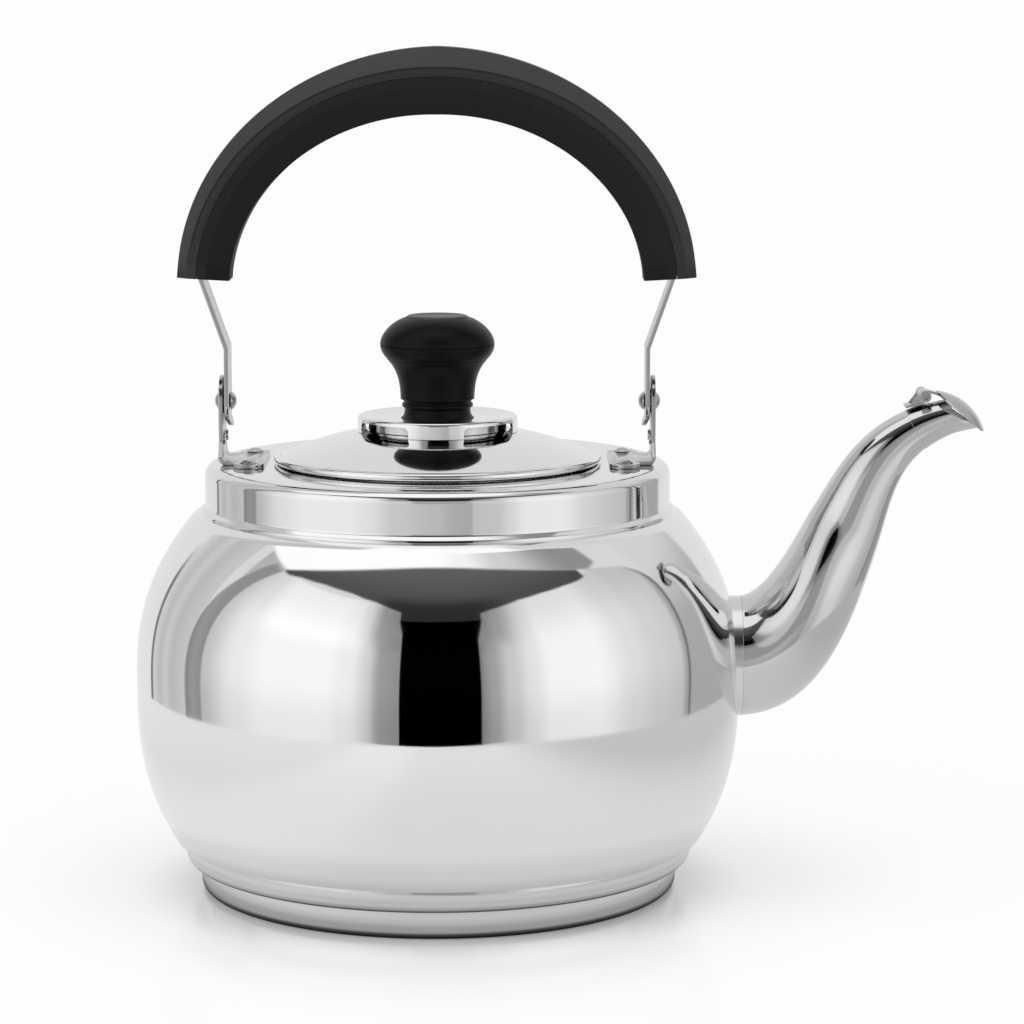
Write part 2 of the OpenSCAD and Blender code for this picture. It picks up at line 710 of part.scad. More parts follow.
body_shell();
base_pan();
base_core();
base_cap();
collar();
spout();
spout_ferrule();
spout_tip();
hinge_bracket();
flap_pin();
flap();
bracket_left();
bracket_right();
bracket_rivets();
pivot_rivet_left();
pivot_rivet_right();
pivot_washers();
handle_band();
grip_outer();
grip_inner();
grip_screws();
lid_dome();
lid_skirt();
vent_cap();
vent_ring();
whistle_housing();
whistle_plate_lower();
whistle_plate_upper();
knob_collar();
knob_stem();
knob_cap();
knob_disc();
knob_screw();
knob_washer();
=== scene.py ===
"""Looks for a stovetop kettle: polished steel shells, black phenolic knob and grip, a swing handle
and a hinged spout flap, standing on a pale floor in a soft light tent. The object's lengths are in
millimetres, in the frame of the CAD model. Those of the stage, and of materials, are in metres."""
import json
import math

import bmesh
import bpy
import numpy as np
from mathutils import Matrix, Vector

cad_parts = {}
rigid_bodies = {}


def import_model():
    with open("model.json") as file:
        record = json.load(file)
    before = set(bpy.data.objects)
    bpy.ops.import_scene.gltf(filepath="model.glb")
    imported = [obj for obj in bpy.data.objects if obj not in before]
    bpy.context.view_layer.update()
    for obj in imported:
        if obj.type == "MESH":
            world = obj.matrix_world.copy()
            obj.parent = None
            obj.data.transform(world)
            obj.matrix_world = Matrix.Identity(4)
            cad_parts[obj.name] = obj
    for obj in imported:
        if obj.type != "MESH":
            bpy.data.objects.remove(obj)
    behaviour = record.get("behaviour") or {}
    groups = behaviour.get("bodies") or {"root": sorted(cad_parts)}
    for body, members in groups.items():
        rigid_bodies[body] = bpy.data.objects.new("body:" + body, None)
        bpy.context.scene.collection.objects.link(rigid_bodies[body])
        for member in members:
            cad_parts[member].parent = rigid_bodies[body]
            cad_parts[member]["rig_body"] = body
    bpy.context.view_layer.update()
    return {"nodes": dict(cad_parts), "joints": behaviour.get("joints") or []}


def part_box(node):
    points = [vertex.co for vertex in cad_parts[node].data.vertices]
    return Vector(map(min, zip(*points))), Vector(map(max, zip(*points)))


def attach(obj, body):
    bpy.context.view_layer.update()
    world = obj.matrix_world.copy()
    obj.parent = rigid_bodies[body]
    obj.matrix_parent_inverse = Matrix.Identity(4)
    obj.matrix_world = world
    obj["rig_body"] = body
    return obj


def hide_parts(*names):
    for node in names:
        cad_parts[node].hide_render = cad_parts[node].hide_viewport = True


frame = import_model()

MM = 0.001
TAU = 2 * math.pi
TURN_SCALE = 0.006  # length that one radian of turn counts as in marks that run round a part


# ------------ node helpers

class Nodes:
    """Short calls for adding shader nodes to one material."""

    def __init__(self, name):
        self.mat = bpy.data.materials.new(name)
        self.mat.use_nodes = True
        self.tree = self.mat.node_tree
        self.tree.nodes.clear()
        self.out = self.add("ShaderNodeOutputMaterial")

    def add(self, kind, **props):
        node = self.tree.nodes.new(kind)
        for key, value in props.items():
            setattr(node, key, value)
        return node

    def put(self, value, socket):
        if isinstance(value, bpy.types.NodeSocket):
            self.tree.links.new(value, socket)
        else:
            socket.default_value = value

    def math(self, op, a, b=0.0, c=0.0):
        node = self.add("ShaderNodeMath", operation=op)
        for value, socket in zip((a, b, c), node.inputs):
            self.put(value, socket)
        return node.outputs[0]

    def plus(self, a, b):
        return self.math("ADD", a, b)

    def minus(self, a, b):
        return self.math("SUBTRACT", a, b)

    def times(self, a, b):
        return self.math("MULTIPLY", a, b)

    def hypot(self, x, y):
        return self.math("SQRT", self.math("MULTIPLY_ADD", x, x, self.times(y, y)))

    def bent(self, base, power, scale, offset):
        """offset + scale * base ** power"""
        return self.math("MULTIPLY_ADD", self.math("POWER", base, power), scale, offset)

    def ramp(self, value, low, high, to_low=0.0, to_high=1.0, smooth=True):
        """to_low up to low, to_high from high on, and a smooth or a straight rise between them."""
        node = self.add("ShaderNodeMapRange", interpolation_type="SMOOTHSTEP" if smooth else "LINEAR")
        for v, i in ((value, 0), (low, 1), (high, 2), (to_low, 3), (to_high, 4)):
            self.put(v, node.inputs[i])
        return node.outputs[0]

    def edge(self, value, soft):
        """Goes from 0 to 1 where value passes 0."""
        return self.ramp(value, -soft, soft)

    def band(self, value, low, high, soft):
        """1 between low and high, 0 outside."""
        rise = self.ramp(value, low - soft, low + soft)
        fall = self.ramp(value, high - soft, high + soft, 1.0, 0.0)
        return self.times(rise, fall)

    def profile(self, value, points, smooth=True):
        """A curve through (x, y) points, as a sum of ramps."""
        total = points[0][1]
        for (x0, y0), (x1, y1) in zip(points, points[1:]):
            total = self.plus(self.ramp(value, x0, x1, 0.0, y1 - y0, smooth), total)
        return total

    def crevice_shade(self, color, reach, depth):
        """Painted shade: darkens a colour to depth times itself in corners tighter than reach, where less
        light falls.
        """
        open_air = self.add("ShaderNodeAmbientOcclusion", samples=8)
        open_air.inputs["Distance"].default_value = reach
        mix = self.add("ShaderNodeMix", data_type="RGBA", blend_type="MULTIPLY")
        mix.inputs[0].default_value = 1.0
        self.put(color, mix.inputs[6])
        self.put(self.ramp(open_air.outputs["AO"], 0.12, 0.62, depth, 1.0), mix.inputs[7])
        return mix.outputs[2]

    def over(self, base, value, mask):
        """base, with value laid over it where mask is 1."""
        return self.math("MULTIPLY_ADD", self.minus(value, base), mask, base)

    def noise(self, vector, scale, detail=3.0, rough=0.5):
        node = self.add("ShaderNodeTexNoise")
        self.put(vector, node.inputs["Vector"])
        node.inputs["Scale"].default_value = scale
        node.inputs["Detail"].default_value = detail
        node.inputs["Roughness"].default_value = rough
        return node.outputs["Fac"]

    def place(self):
        return self.add("ShaderNodeTexCoord").outputs["Object"]

    def position(self):
        """x, y and z in the scene, in metres."""
        split = self.add("ShaderNodeSeparateXYZ")
        self.put(self.add("ShaderNodeNewGeometry").outputs["Position"], split.inputs[0])
        return split.outputs

    def stretched(self, vector, scale):
        node = self.add("ShaderNodeMapping")
        self.put(vector, node.inputs["Vector"])
        node.inputs["Scale"].default_value = scale
        return node.outputs["Vector"]

    def turned(self):
        """Coordinates round the Z axis: turn, radius and height, so marks run round the part."""
        split = self.add("ShaderNodeSeparateXYZ")
        self.put(self.place(), split.inputs[0])
        x, y, z = split.outputs
        join = self.add("ShaderNodeCombineXYZ")
        self.put(self.times(self.math("ARCTAN2", y, x), TURN_SCALE), join.inputs[0])
        self.put(self.hypot(x, y), join.inputs[1])
        self.put(z, join.inputs[2])
        return join.outputs[0]

    def bump(self, height, distance, strength, normal=None):
        node = self.add("ShaderNodeBump")
        node.inputs["Strength"].default_value = strength
        node.inputs["Distance"].default_value = distance
        self.put(height, node.inputs["Height"])
        if normal is not None:
            self.put(normal, node.inputs["Normal"])
        return node.outputs[0]

    def principled(self, color, metallic, roughness, normal=None, **extra):
        node = self.add("ShaderNodeBsdfPrincipled")
        self.put(color, node.inputs["Base Color"])
        node.inputs["Metallic"].default_value = metallic
        self.put(roughness, node.inputs["Roughness"])
        if normal is not None:
            self.put(normal, node.inputs["Normal"])
        for key, value in extra.items():
            node.inputs[key.replace("_", " ")].default_value = value
        return self.finished(node.outputs[0])

    def tint(self, fac, low, high):
        """A colour between low and high."""
        node = self.add("ShaderNodeMix", data_type="RGBA")
        self.put(fac, node.inputs[0])
        node.inputs[6].default_value = (*low, 1)
        node.inputs[7].default_value = (*high, 1)
        return node.outputs[2]

    def glow(self, strength, white=1.0):
        node = self.add("ShaderNodeEmission")
        node.inputs["Color"].default_value = (white, white, white, 1)
        self.put(strength, node.inputs["Strength"])
        return node.outputs[0]

    def shaders_mixed(self, fac, first, second):
        node = self.add("ShaderNodeMixShader")
        for value, socket in zip((fac, first, second), node.inputs):
            self.put(value, socket)
        return node.outputs[0]

    def finished(self, shader):
        """The material, with this shader as its surface."""
        self.put(shader, self.out.inputs[0])
        return self.mat


# ------------ materials

def polished_steel(name, rough=0.03, haze=0.03, wave=0.02, spun=True, bright=0.88, reach=0.0, shade_depth=0.12):
    """Mirror-polished sheet: faint haze, fine buffing lines and the slight waviness of pressed steel. Given
    a reach, corners within it are darkened with painted shade.
    """
    n = Nodes(name)
    at = n.place()
    lines = n.turned() if spun else n.stretched(at, (0.25, 1.0, 1.0))
    clouds = n.noise(at, 38.0, 4.0, 0.6)
    buffing = n.noise(lines, 2600.0, 2.0, 0.5)
    smudge = n.ramp(n.noise(at, 12.0, 2.0), 0.5, 0.75)
    roughness = n.math("MULTIPLY_ADD", clouds, haze, rough)
    roughness = n.math("MULTIPLY_ADD", n.times(smudge, buffing), haze * 0.8, roughness)
    waves = n.bump(n.noise(at, 26.0, 1.0), 0.0006, wave)
    normal = n.bump(buffing, 0.000004, 0.25, waves)
    dull = (bright - 0.02, bright - 0.018, bright - 0.01)
    clean = (bright + 0.015, bright + 0.015, bright + 0.02)
    color = n.tint(clouds, dull, clean)
    # painted shade in corners within reach
    if reach:
        color = n.crevice_shade(color, reach, shade_depth)
    return n.principled(color, 1.0, roughness, normal)


def stamped_steel(name, rough=0.11, bright=0.52, reach=0.0016):
    """Pressed strip: a little duller, with drawn lines and small dents, and painted shade, nearly black, in
    its corners.
    """
    n = Nodes(name)
    at = n.place()
    clouds = n.noise(at, 120.0, 4.0, 0.6)
    drawn = n.noise(n.stretched(at, (1.0, 1.0, 0.12)), 2200.0, 3.0)
    roughness = n.math("MULTIPLY_ADD", clouds, 0.12, rough)
    dents = n.bump(n.noise(at, 160.0, 2.0), 0.0004, 0.12)
    normal = n.bump(drawn, 0.00001, 0.3, dents)
    color = n.tint(clouds, (bright - 0.1,) * 3, (bright + 0.06,) * 3)
    # painted shade: corners within reach go nearly black
    return n.principled(n.crevice_shade(color, reach, 0.04), 1.0, roughness, normal)


def cast_aluminium(name):
    """Plain casting: pale and grainy."""
    n = Nodes(name)
    grain = n.noise(n.place(), 900.0, 4.0)
    color = n.tint(grain, (0.62, 0.63, 0.65), (0.78, 0.78, 0.8))
    roughness = n.math("MULTIPLY_ADD", grain, 0.2, 0.3)
    return n.principled(color, 1.0, roughness, n.bump(grain, 0.00003, 0.4))


def black_phenolic(name, base, rough, shine, grain=1500.0, dust=0.5):
    """Moulded phenolic: satin black with a fine pebble, faint flow marks and pale handling dust."""
    n = Nodes(name)
    at = n.place()
    pebble = n.noise(at, grain, 2.0, 0.6)
    flow = n.noise(n.stretched(at, (1.0, 2.0, 1.0)), 30.0, 4.0, 0.6)
    specks = n.ramp(n.noise(at, 620.0, 2.0, 0.7), 0.68, 0.78, 0.0, dust)
    color = n.tint(specks, (base, base, base * 1.03), (base * 3.2,) * 3)
    roughness = n.math("MULTIPLY_ADD", flow, 0.22, rough - 0.06)
    roughness = n.math("MULTIPLY_ADD", pebble, 0.1, roughness)
    normal = n.bump(pebble, 0.00005, 0.35, n.bump(flow, 0.0005, 0.1))
    return n.principled(color, 0.0, roughness, normal, Specular_IOR_Level=shine)


MIRROR = polished_steel("kettle_polished_steel")
COLLAR_STEEL = polished_steel("kettle_collar_steel", rough=0.035, haze=0.04, bright=0.83)
# Where a reach is given, corners within it get painted shade: the base's crease, the band's seam, the vent
# cap and ring, the flap, and the brackets, strips and rivets.
BASE_STEEL = polished_steel("kettle_base_steel", rough=0.06, haze=0.06, bright=0.67, reach=0.007, shade_depth=0.0)
BAND_STEEL = polished_steel(
    "kettle_band_steel", rough=0.12, haze=0.08, spun=False, bright=0.74, reach=0.002, shade_depth=0.0)
CAP_STEEL = polished_steel("kettle_cap_steel", rough=0.04, haze=0.05, wave=0.03, bright=0.86, reach=0.006)
LID_STEEL = polished_steel("kettle_lid_steel", rough=0.04, haze=0.05, wave=0.03)
# Painted shade: the spout and its sleeve are a darker copy of the polished steel, standing in for the darker
# reflections on the spout.
TUBE_STEEL = polished_steel("kettle_spout_steel", rough=0.05, haze=0.05, wave=0.035, spun=False, bright=0.67)
FLAP_STEEL = polished_steel(
    "kettle_flap_steel", rough=0.07, haze=0.06, wave=0.05, spun=False, bright=0.5, reach=0.0015)
STAMPED = stamped_steel("kettle_stamped_steel", reach=0.0024)
RIVET = stamped_steel("kettle_rivet_steel", rough=0.14)
ALUMINIUM = cast_aluminium("kettle_core_aluminium")
KNOB_BLACK = black_phenolic("kettle_knob_phenolic", base=0.004, rough=0.27, shine=0.12)
# Painted light: the disc is a paler copy of the knob's phenolic, standing in for the light on the knob's
# top.
DISC_BLACK = black_phenolic("kettle_disc_phenolic", base=0.03, rough=0.38, shine=0.7)
GRIP_BLACK = black_phenolic(
    "kettle_grip_phenolic", base=0.016, rough=0.44, shine=0.42, grain=1100.0, dust=0.7)
# Painted shade: the inner moulding is a darker and duller copy of the grip's phenolic, standing in for the
# shade under the grip.
GRIP_INSIDE = black_phenolic("kettle_grip_inner_phenolic", base=0.011, rough=0.55, shine=0.2, grain=1100.0)


# ------------ mesh helpers

# A solid is its vertices, in millimetres, and its faces.

SHARP = 38.0  # edges that turn by more than this many degrees stay crisp


def smoothed(mesh, sharp=SHARP):
    for polygon in mesh.polygons:
        polygon.use_smooth = True
    mesh.set_sharp_from_angle(angle=math.radians(sharp))


def cleaned(mesh, merge=False):
    """Turns a closed mesh's faces outwards, after joining points in the same place if asked."""
    bm = bmesh.new()
    bm.from_mesh(mesh)
    if merge:
        bmesh.ops.remove_doubles(bm, verts=bm.verts, dist=1e-7)
    bmesh.ops.recalc_face_normals(bm, faces=bm.faces)
    bm.to_mesh(mesh)
    bm.free()


def piece(name, solid, material, body, replaces=(), sharp=SHARP):
    """A shown piece made from a solid."""
    verts, faces = solid
    mesh = bpy.data.meshes.new(name)
    mesh.from_pydata((np.asarray(verts, float) * MM).tolist(), [], faces)
    cleaned(mesh, merge=True)
    return finish_piece(name, mesh, material, body, replaces, sharp)


def finish_piece(name, mesh, material, body, replaces, sharp):
    smoothed(mesh, sharp)
    mesh.materials.clear()
    mesh.materials.append(material)
    obj = bpy.data.objects.new(name, mesh)
    bpy.context.scene.collection.objects.link(obj)
    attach(obj, body)
    if replaces:
        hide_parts(*replaces)
    return obj


def rounded(corners, steps=7):
    """A closed outline from (x, y) or (x, y, radius) corners, with a true arc at each given radius."""
    out = []
    count = len(corners)
    for i, corner in enumerate(corners):
        p = np.array(corner[:2], float)
        radius = corner[2] if len(corner) > 2 else 0
        a = np.array(corners[i - 1][:2], float) - p
        b = np.array(corners[(i + 1) % count][:2], float) - p
        long_a = np.linalg.norm(a)
        long_b = np.linalg.norm(b)
        if radius <= 0 or long_a < 1e-9 or long_b < 1e-9:
            out.append(p)
            continue
        a = a / long_a
        b = b / long_b
        half = math.acos(max(-1.0, min(1.0, float(a @ b)))) / 2
        if half > math.radians(89) or half < math.radians(1):
            out.append(p)
            continue
        reach = min(radius / math.tan(half), 0.48 * long_a, 0.48 * long_b)
        r = reach * math.tan(half)
        mid = (a + b) / np.linalg.norm(a + b)
        centre = p + mid * (r / math.sin(half))
        start = p + a * reach - centre
        end = p + b * reach - centre
        turn = math.pi - 2 * half
        for k in range(steps + 1):
            t = k / steps
            spoke = math.sin((1 - t) * turn) * start + math.sin(t * turn) * end
            out.append(centre + spoke / math.sin(turn))
    return out


def arc(cx, cy, r, a0, a1, n=12):
    """Points on a circle from the angle a0 to a1, in degrees."""
    angles = [math.radians(a0 + (a1 - a0) * i / n) for i in range(n + 1)]
    return [(cx + r * math.cos(a), cy + r * math.sin(a)) for a in angles]


def on_axis(points):
    """Draws the points of an outline that are all but on the axis onto it."""
    return [(r if r > 1e-4 else 0.0, z) for r, z in points]


def mirrored(points):
    """The other half of an outline that is alike on both sides of x = 0."""
    return [(-x, *rest) for x, *rest in reversed(points)]


def cubic(p, t):
    """A point on a cubic curve with four control points."""
    p = np.asarray(p, float)
    return (1 - t) ** 3 * p[0] + 3 * t * (1 - t) ** 2 * p[1] + 3 * t * t * (1 - t) * p[2] + t ** 3 * p[3]


def cubic_slope(p, t):
    """The direction of a cubic curve there."""
    p = np.asarray(p, float)
    d = 3 * (1 - t) ** 2 * (p[1] - p[0]) + 6 * t * (1 - t) * (p[2] - p[1]) + 3 * t * t * (p[3] - p[2])
    return d / np.linalg.norm(d)


def lathe(outline, segs=192):
    """A solid from a closed (radius, height) outline turned about Z."""
    verts, faces, rings = [], [], []
    for r, z in outline:
        if r < 1e-6:
            rings.append([len(verts)] * segs)
            verts.append((0.0, 0.0, z))
        else:
            rings.append(list(range(len(verts), len(verts) + segs)))
            turns = [TAU * j / segs for j in range(segs)]
            verts += [(r * math.cos(a), r * math.sin(a), z) for a in turns]
    for i, ring in enumerate(rings):
        above = rings[(i + 1) % len(rings)]
        if ring[0] == ring[1] and above[0] == above[1]:
            continue
        for j in range(segs):
            k = (j + 1) % segs
            face = [ring[j], ring[k], above[k], above[j]]
            faces.append(list(dict.fromkeys(face)))
    return verts, faces


def sweep(rings, closed=False):
    """A solid through rings of equal length; open sweeps get a cap at each end."""
    count, sides = len(rings), len(rings[0])
    verts = [tuple(p) for ring in rings for p in ring]
    faces = []
    for i in range(count if closed else count - 1):
        m = (i + 1) % count
        for j in range(sides):
            k = (j + 1) % sides
            faces.append([i * sides + j, i * sides + k, m * sides + k, m * sides + j])
    if not closed:
        faces.append(list(range(sides - 1, -1, -1)))
        faces.append([(count - 1) * sides + j for j in range(sides)])
    return verts, faces


def moved(solid, matrix):
    verts, faces = solid
    return [tuple(matrix @ Vector(v)) for v in verts], faces


def joined(solids):
    """Several solids as one."""
    verts, faces = [], []
    for more_verts, more_faces in solids:
        faces += [[i + len(verts) for i in face] for face in more_faces]
        verts += more_verts
    return verts, faces


def along_x(x, z, flip=False):
    """Places a part turned about Z so that its axis runs along +X, or -X when flipped."""
    turn = Matrix.Rotation(math.radians(-90 if flip else 90), 4, "Y")
    return Matrix.Translation((x, 0.0, z)) @ turn


def cut(obj, solid):
    """Takes a solid out of a piece."""
    verts, faces = solid
    mesh = bpy.data.meshes.new("cutter")
    mesh.from_pydata((np.asarray(verts, float) * MM).tolist(), [], faces)
    tool = bpy.data.objects.new("cutter", mesh)
    bpy.context.scene.collection.objects.link(tool)
    cleaned(mesh)
    modifier = obj.modifiers.new("cut", "BOOLEAN")
    modifier.operation = "DIFFERENCE"
    modifier.object = tool
    modifier.solver = "EXACT"
    graph = bpy.context.evaluated_depsgraph_get()
    made = bpy.data.meshes.new_from_object(obj.evaluated_get(graph))
    obj.modifiers.clear()
    materials = list(obj.data.materials)
    obj.data = made
    made.materials.clear()
    for material in materials:
        made.materials.append(material)
    bpy.data.objects.remove(tool)
    made.set_sharp_from_angle(angle=math.radians(SHARP))


def softened(node, name, edge):
    """A copy of a pressed CAD node with its edges rounded, which stands for the node."""
    source = frame["nodes"][node]
    bm = bmesh.new()
    bm.from_mesh(source.data)
    bmesh.ops.remove_doubles(bm, verts=bm.verts, dist=2e-6)
    bmesh.ops.dissolve_limit(bm, angle_limit=math.radians(2.5), verts=bm.verts, edges=bm.edges)
    corner = math.radians(35)
    hard = [e for e in bm.edges if len(e.link_faces) == 2 and e.calc_face_angle(0) > corner]
    bmesh.ops.bevel(bm, geom=hard, offset=edge * MM, offset_type="OFFSET", segments=2,
                    profile=0.5, affect="EDGES", clamp_overlap=True)
    bmesh.ops.recalc_face_normals(bm, faces=bm.faces)
    bm.verts.index_update()
    verts = [tuple(v.co) for v in bm.verts]
    faces = [[v.index for v in f.verts] for f in bm.faces]
    bm.free()
    mesh = bpy.data.meshes.new(name)
    mesh.from_pydata(verts, [], faces)
    return finish_piece(name, mesh, STAMPED, source["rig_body"], [node], SHARP)


# ------------ sizes shared with the CAD

def low_of(node):
    """Lowest corner of a CAD node at rest, in millimetres."""
    return [round(v / MM, 1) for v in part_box(node)[0]]


def high_of(node):
    """Highest corner of a CAD node at rest, in millimetres."""
    return [round(v / MM, 1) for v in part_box(node)[1]]


JOINT_AT = {joint["name"]: np.array(joint["pos_m"]) / MM for joint in frame["joints"] if "pos_m" in joint}

# Body. Its radius is a hair under the CAD's, so that its finer mesh stays inside the CAD's box.
BODY_R, BELLY_Z, WALL = 109.995, 77.0, 1.0
SEAM_Z = low_of("body_shell")[2]
SEAM_DRAW, SEAM_POWER = 13.5, 2.7
SHOULDER_DRAW, SHOULDER_RISE, SHOULDER_POWER = 18.5, 57.0, 2.45
SHOULDER_TOP_Z = 137.0
NECK_Z, NECK_TOP_Z = 139.5, high_of("body_shell")[2]
BODY_SEGS = 320

# Base
FOOT_R, _, FOOT_H = high_of("base_cap")
FOOT_CORNER, FOOT_WALL = 3.0, low_of("base_core")[2]
STEP_R, STEP_CORNER = 92.7, 3.5
PAN_Z = low_of("base_pan")[2]

# Collar
LIP_R, _, DECK_Z = high_of("collar")
LIP_Z = low_of("collar")[2]
LIP_FLARE, COLLAR_CORNER, DECK_T = 2.0, 4.0, 1.1
COLLAR_R = LIP_R - LIP_FLARE
NECK_R = COLLAR_R - 1.2
OPENING_R, OPENING_CORNER, OPENING_LOW_Z = 56.6, 1.5, 148.0

# Spout
BAND_X, _, SPOUT_LOW_Z = low_of("spout_ferrule")
ROOT_X, SPOUT_ROOT_R, _ = high_of("spout_ferrule")
SPOUT_Z = SPOUT_LOW_Z + SPOUT_ROOT_R
SPOUT_WALL, SPOUT_HOLE_R = 0.9, 21.45
SLEEVE_FROM = 1.79

# Lid
LID_R = high_of("lid_dome")[0]
LID_T, LID_BEAD_R, LID_BEAD_Z = 1.0, 1.45, DECK_Z + 1.65
DOME_R, DOME_EDGE_R, DOME_EDGE_Z = 150.0, 56.5, DECK_Z + 3
DOME_CENTRE_Z = DOME_EDGE_Z - math.sqrt(DOME_R ** 2 - DOME_EDGE_R ** 2)
SKIRT_R, SKIRT_T = 55.97, 1.0
SCREW_HOLE_R = 3.1

# Vent cap
CAP_R, _, CAP_RIM_Z = high_of("vent_cap")
CAP_T, CAP_CORNER = 1.0, 1.6
CAP_DISH_Z = low_of("knob_collar")[2]
NOTCH_HALF, NOTCH_LOW_Z, NOTCH_HIGH_Z, NOTCH_CORNER = 12.25, 165.9, 171.4, 2.0
RING_R, RING_T, RING_TOP_Z = 25.0, 1.0, 170.95

# Knob
LEDGE_Z = low_of("knob_stem")[2]
PARTING_Z = low_of("knob_cap")[2]
DISC_Z = low_of("knob_disc")[2]

# Brackets and pivots
PIVOT_Z = JOINT_AT["handle_swing"][2]
PIVOT_INNER_X, PIVOT_OUTER_X = 74.9, high_of("bracket_right")[0]
BRACKET_T, RIVET_X, RIVET_Y = 1.5, 67.5, 17.0


def shell_r(z):
    """Outer radius of the body at a height."""
    if z < BELLY_Z:
        return BODY_R - SEAM_DRAW * ((BELLY_Z - z) / (BELLY_Z - SEAM_Z)) ** SEAM_POWER
    return BODY_R - SHOULDER_DRAW * ((z - BELLY_Z) / SHOULDER_RISE) ** SHOULDER_POWER


def dome_z(r, inset=0.0):
    """Height of the lid's dome at a radius."""
    return DOME_CENTRE_Z + math.sqrt((DOME_R - inset) ** 2 - r * r)


# ------------ body and base

def spout_hole(obj):
    """Opens the body behind the spout's band, with a round edge and the wall closed round it."""
    bm = bmesh.new()
    bm.from_mesh(obj.data)
    hole = SPOUT_HOLE_R * MM
    middle = SPOUT_Z * MM

    def inside(v):
        return v.co.x > 0 and math.hypot(v.co.y, v.co.z - middle) < hole

    doomed = [f for f in bm.faces if all(inside(v) for v in f.verts)]
    bmesh.ops.delete(bm, geom=doomed, context="FACES")
    rim = [v for v in bm.verts if v.is_boundary]
    for v in rim:
        reach = math.hypot(v.co.x, v.co.y)
        inner = reach < (shell_r(v.co.z / MM) - WALL / 2) * MM
        away = Vector((v.co.y, v.co.z - middle))
        away *= hole / away.length
        y = away.x
        z = away.y + middle
        radius = (shell_r(z / MM) - (WALL if inner else 0)) * MM
        v.co = (math.sqrt(radius ** 2 - y * y), y, z)
    edges = [e for e in bm.edges if e.is_boundary]
    bmesh.ops.bridge_loops(bm, edges=edges)
    bmesh.ops.recalc_face_normals(bm, faces=bm.faces)
    bm.to_mesh(obj.data)
    bm.free()
    smoothed(obj.data)


def body_outline():
    heights = [SEAM_Z + (SHOULDER_TOP_Z - SEAM_Z) * i / 110 for i in range(111)]
    outside = [(shell_r(z), z) for z in heights]
    inside = [(shell_r(z) - WALL, z - (0.5 if z > BELLY_Z else 0)) for z in reversed(heights)]
    inner_r = NECK_R - WALL
    neck = [(NECK_R, NECK_Z), (NECK_R, NECK_TOP_Z), (inner_r, NECK_TOP_Z), (inner_r, NECK_Z - WALL)]
    return outside + neck + inside


def swelling(r, z0, z1, swell):
    """An upright stretch of outline that bulges a little in its middle."""
    return [(r + swell * math.sin(math.pi * i / 10), z0 + (z1 - z0) * i / 10) for i in range(1, 10)]


def pan_outline():
    """The floor of the kettle, with the upper of the two steps round it."""
    recess_r = FOOT_R - FOOT_WALL
    corner_z = FOOT_H + STEP_CORNER
    edge_r = shell_r(SEAM_Z) - WALL
    line = [(0, PAN_Z), (recess_r, PAN_Z), (recess_r, FOOT_H)]
    line += arc(STEP_R - STEP_CORNER, corner_z, STEP_CORNER, -90, 0)
    line += swelling(STEP_R, corner_z, SEAM_Z - 0.5, 0.3)
    line += [(STEP_R, SEAM_Z - 0.5), (STEP_R + 0.5, SEAM_Z), (edge_r, SEAM_Z)]
    line += [(edge_r, SEAM_Z + WALL), (STEP_R - WALL, SEAM_Z + WALL)]
    line += arc(STEP_R - STEP_CORNER, corner_z, STEP_CORNER - WALL, 0, -90)
    return line + [(recess_r - WALL, FOOT_H + WALL), (recess_r - WALL, PAN_Z + WALL), (0, PAN_Z + WALL)]


def foot_outline():
    """The cap round the core, which is the lower step and stands on the hob."""
    line = [(0, 0)] + arc(FOOT_R - FOOT_CORNER, FOOT_CORNER, FOOT_CORNER, -90, 0)
    line += swelling(FOOT_R, FOOT_CORNER, FOOT_H - 0.3, 0.2)
    line += [(FOOT_R, FOOT_H - 0.3), (FOOT_R - 0.3, FOOT_H), (FOOT_R - FOOT_WALL, FOOT_H)]
    line += arc(FOOT_R - FOOT_CORNER, FOOT_CORNER, FOOT_CORNER - FOOT_WALL, 0, -90)
    return line + [(0, FOOT_WALL)]


def collar_outline():
    line = [(LIP_R, LIP_Z, 0.5), (COLLAR_R + 1.4, LIP_Z + 1.3, 1.2), (COLLAR_R, LIP_Z + 2.8, 1.5)]
    line += arc(COLLAR_R - COLLAR_CORNER, DECK_Z - COLLAR_CORNER, COLLAR_CORNER, 0, 90, 16)
    line += arc(OPENING_R + OPENING_CORNER, DECK_Z - OPENING_CORNER, OPENING_CORNER, 90, 180, 10)
    line += [(OPENING_R, OPENING_LOW_Z), (OPENING_R + DECK_T, OPENING_LOW_Z)]
    line += [(OPENING_R + DECK_T, DECK_Z - DECK_T, 0.5), (COLLAR_R - COLLAR_CORNER, DECK_Z - DECK_T)]
    line += arc(COLLAR_R - COLLAR_CORNER, DECK_Z - COLLAR_CORNER, COLLAR_CORNER - DECK_T, 90, 0, 10)
    return line + [(NECK_R, NECK_Z), (NECK_R + 1, LIP_Z, 0.4)]


shell = piece("kettle_body", lathe(body_outline(), BODY_SEGS), MIRROR, "kettle", ["body_shell"], 30)
spout_hole(shell)
for name, outline, material, node in (
        ("kettle_base_step", pan_outline(), BASE_STEEL, "base_pan"),
        ("kettle_base_foot", foot_outline(), BASE_STEEL, "base_cap"),
        ("kettle_collar", rounded(collar_outline()), COLLAR_STEEL, "collar")):
    piece(name, lathe(outline, BODY_SEGS), material, "kettle", [node], 30)


# ------------ spout

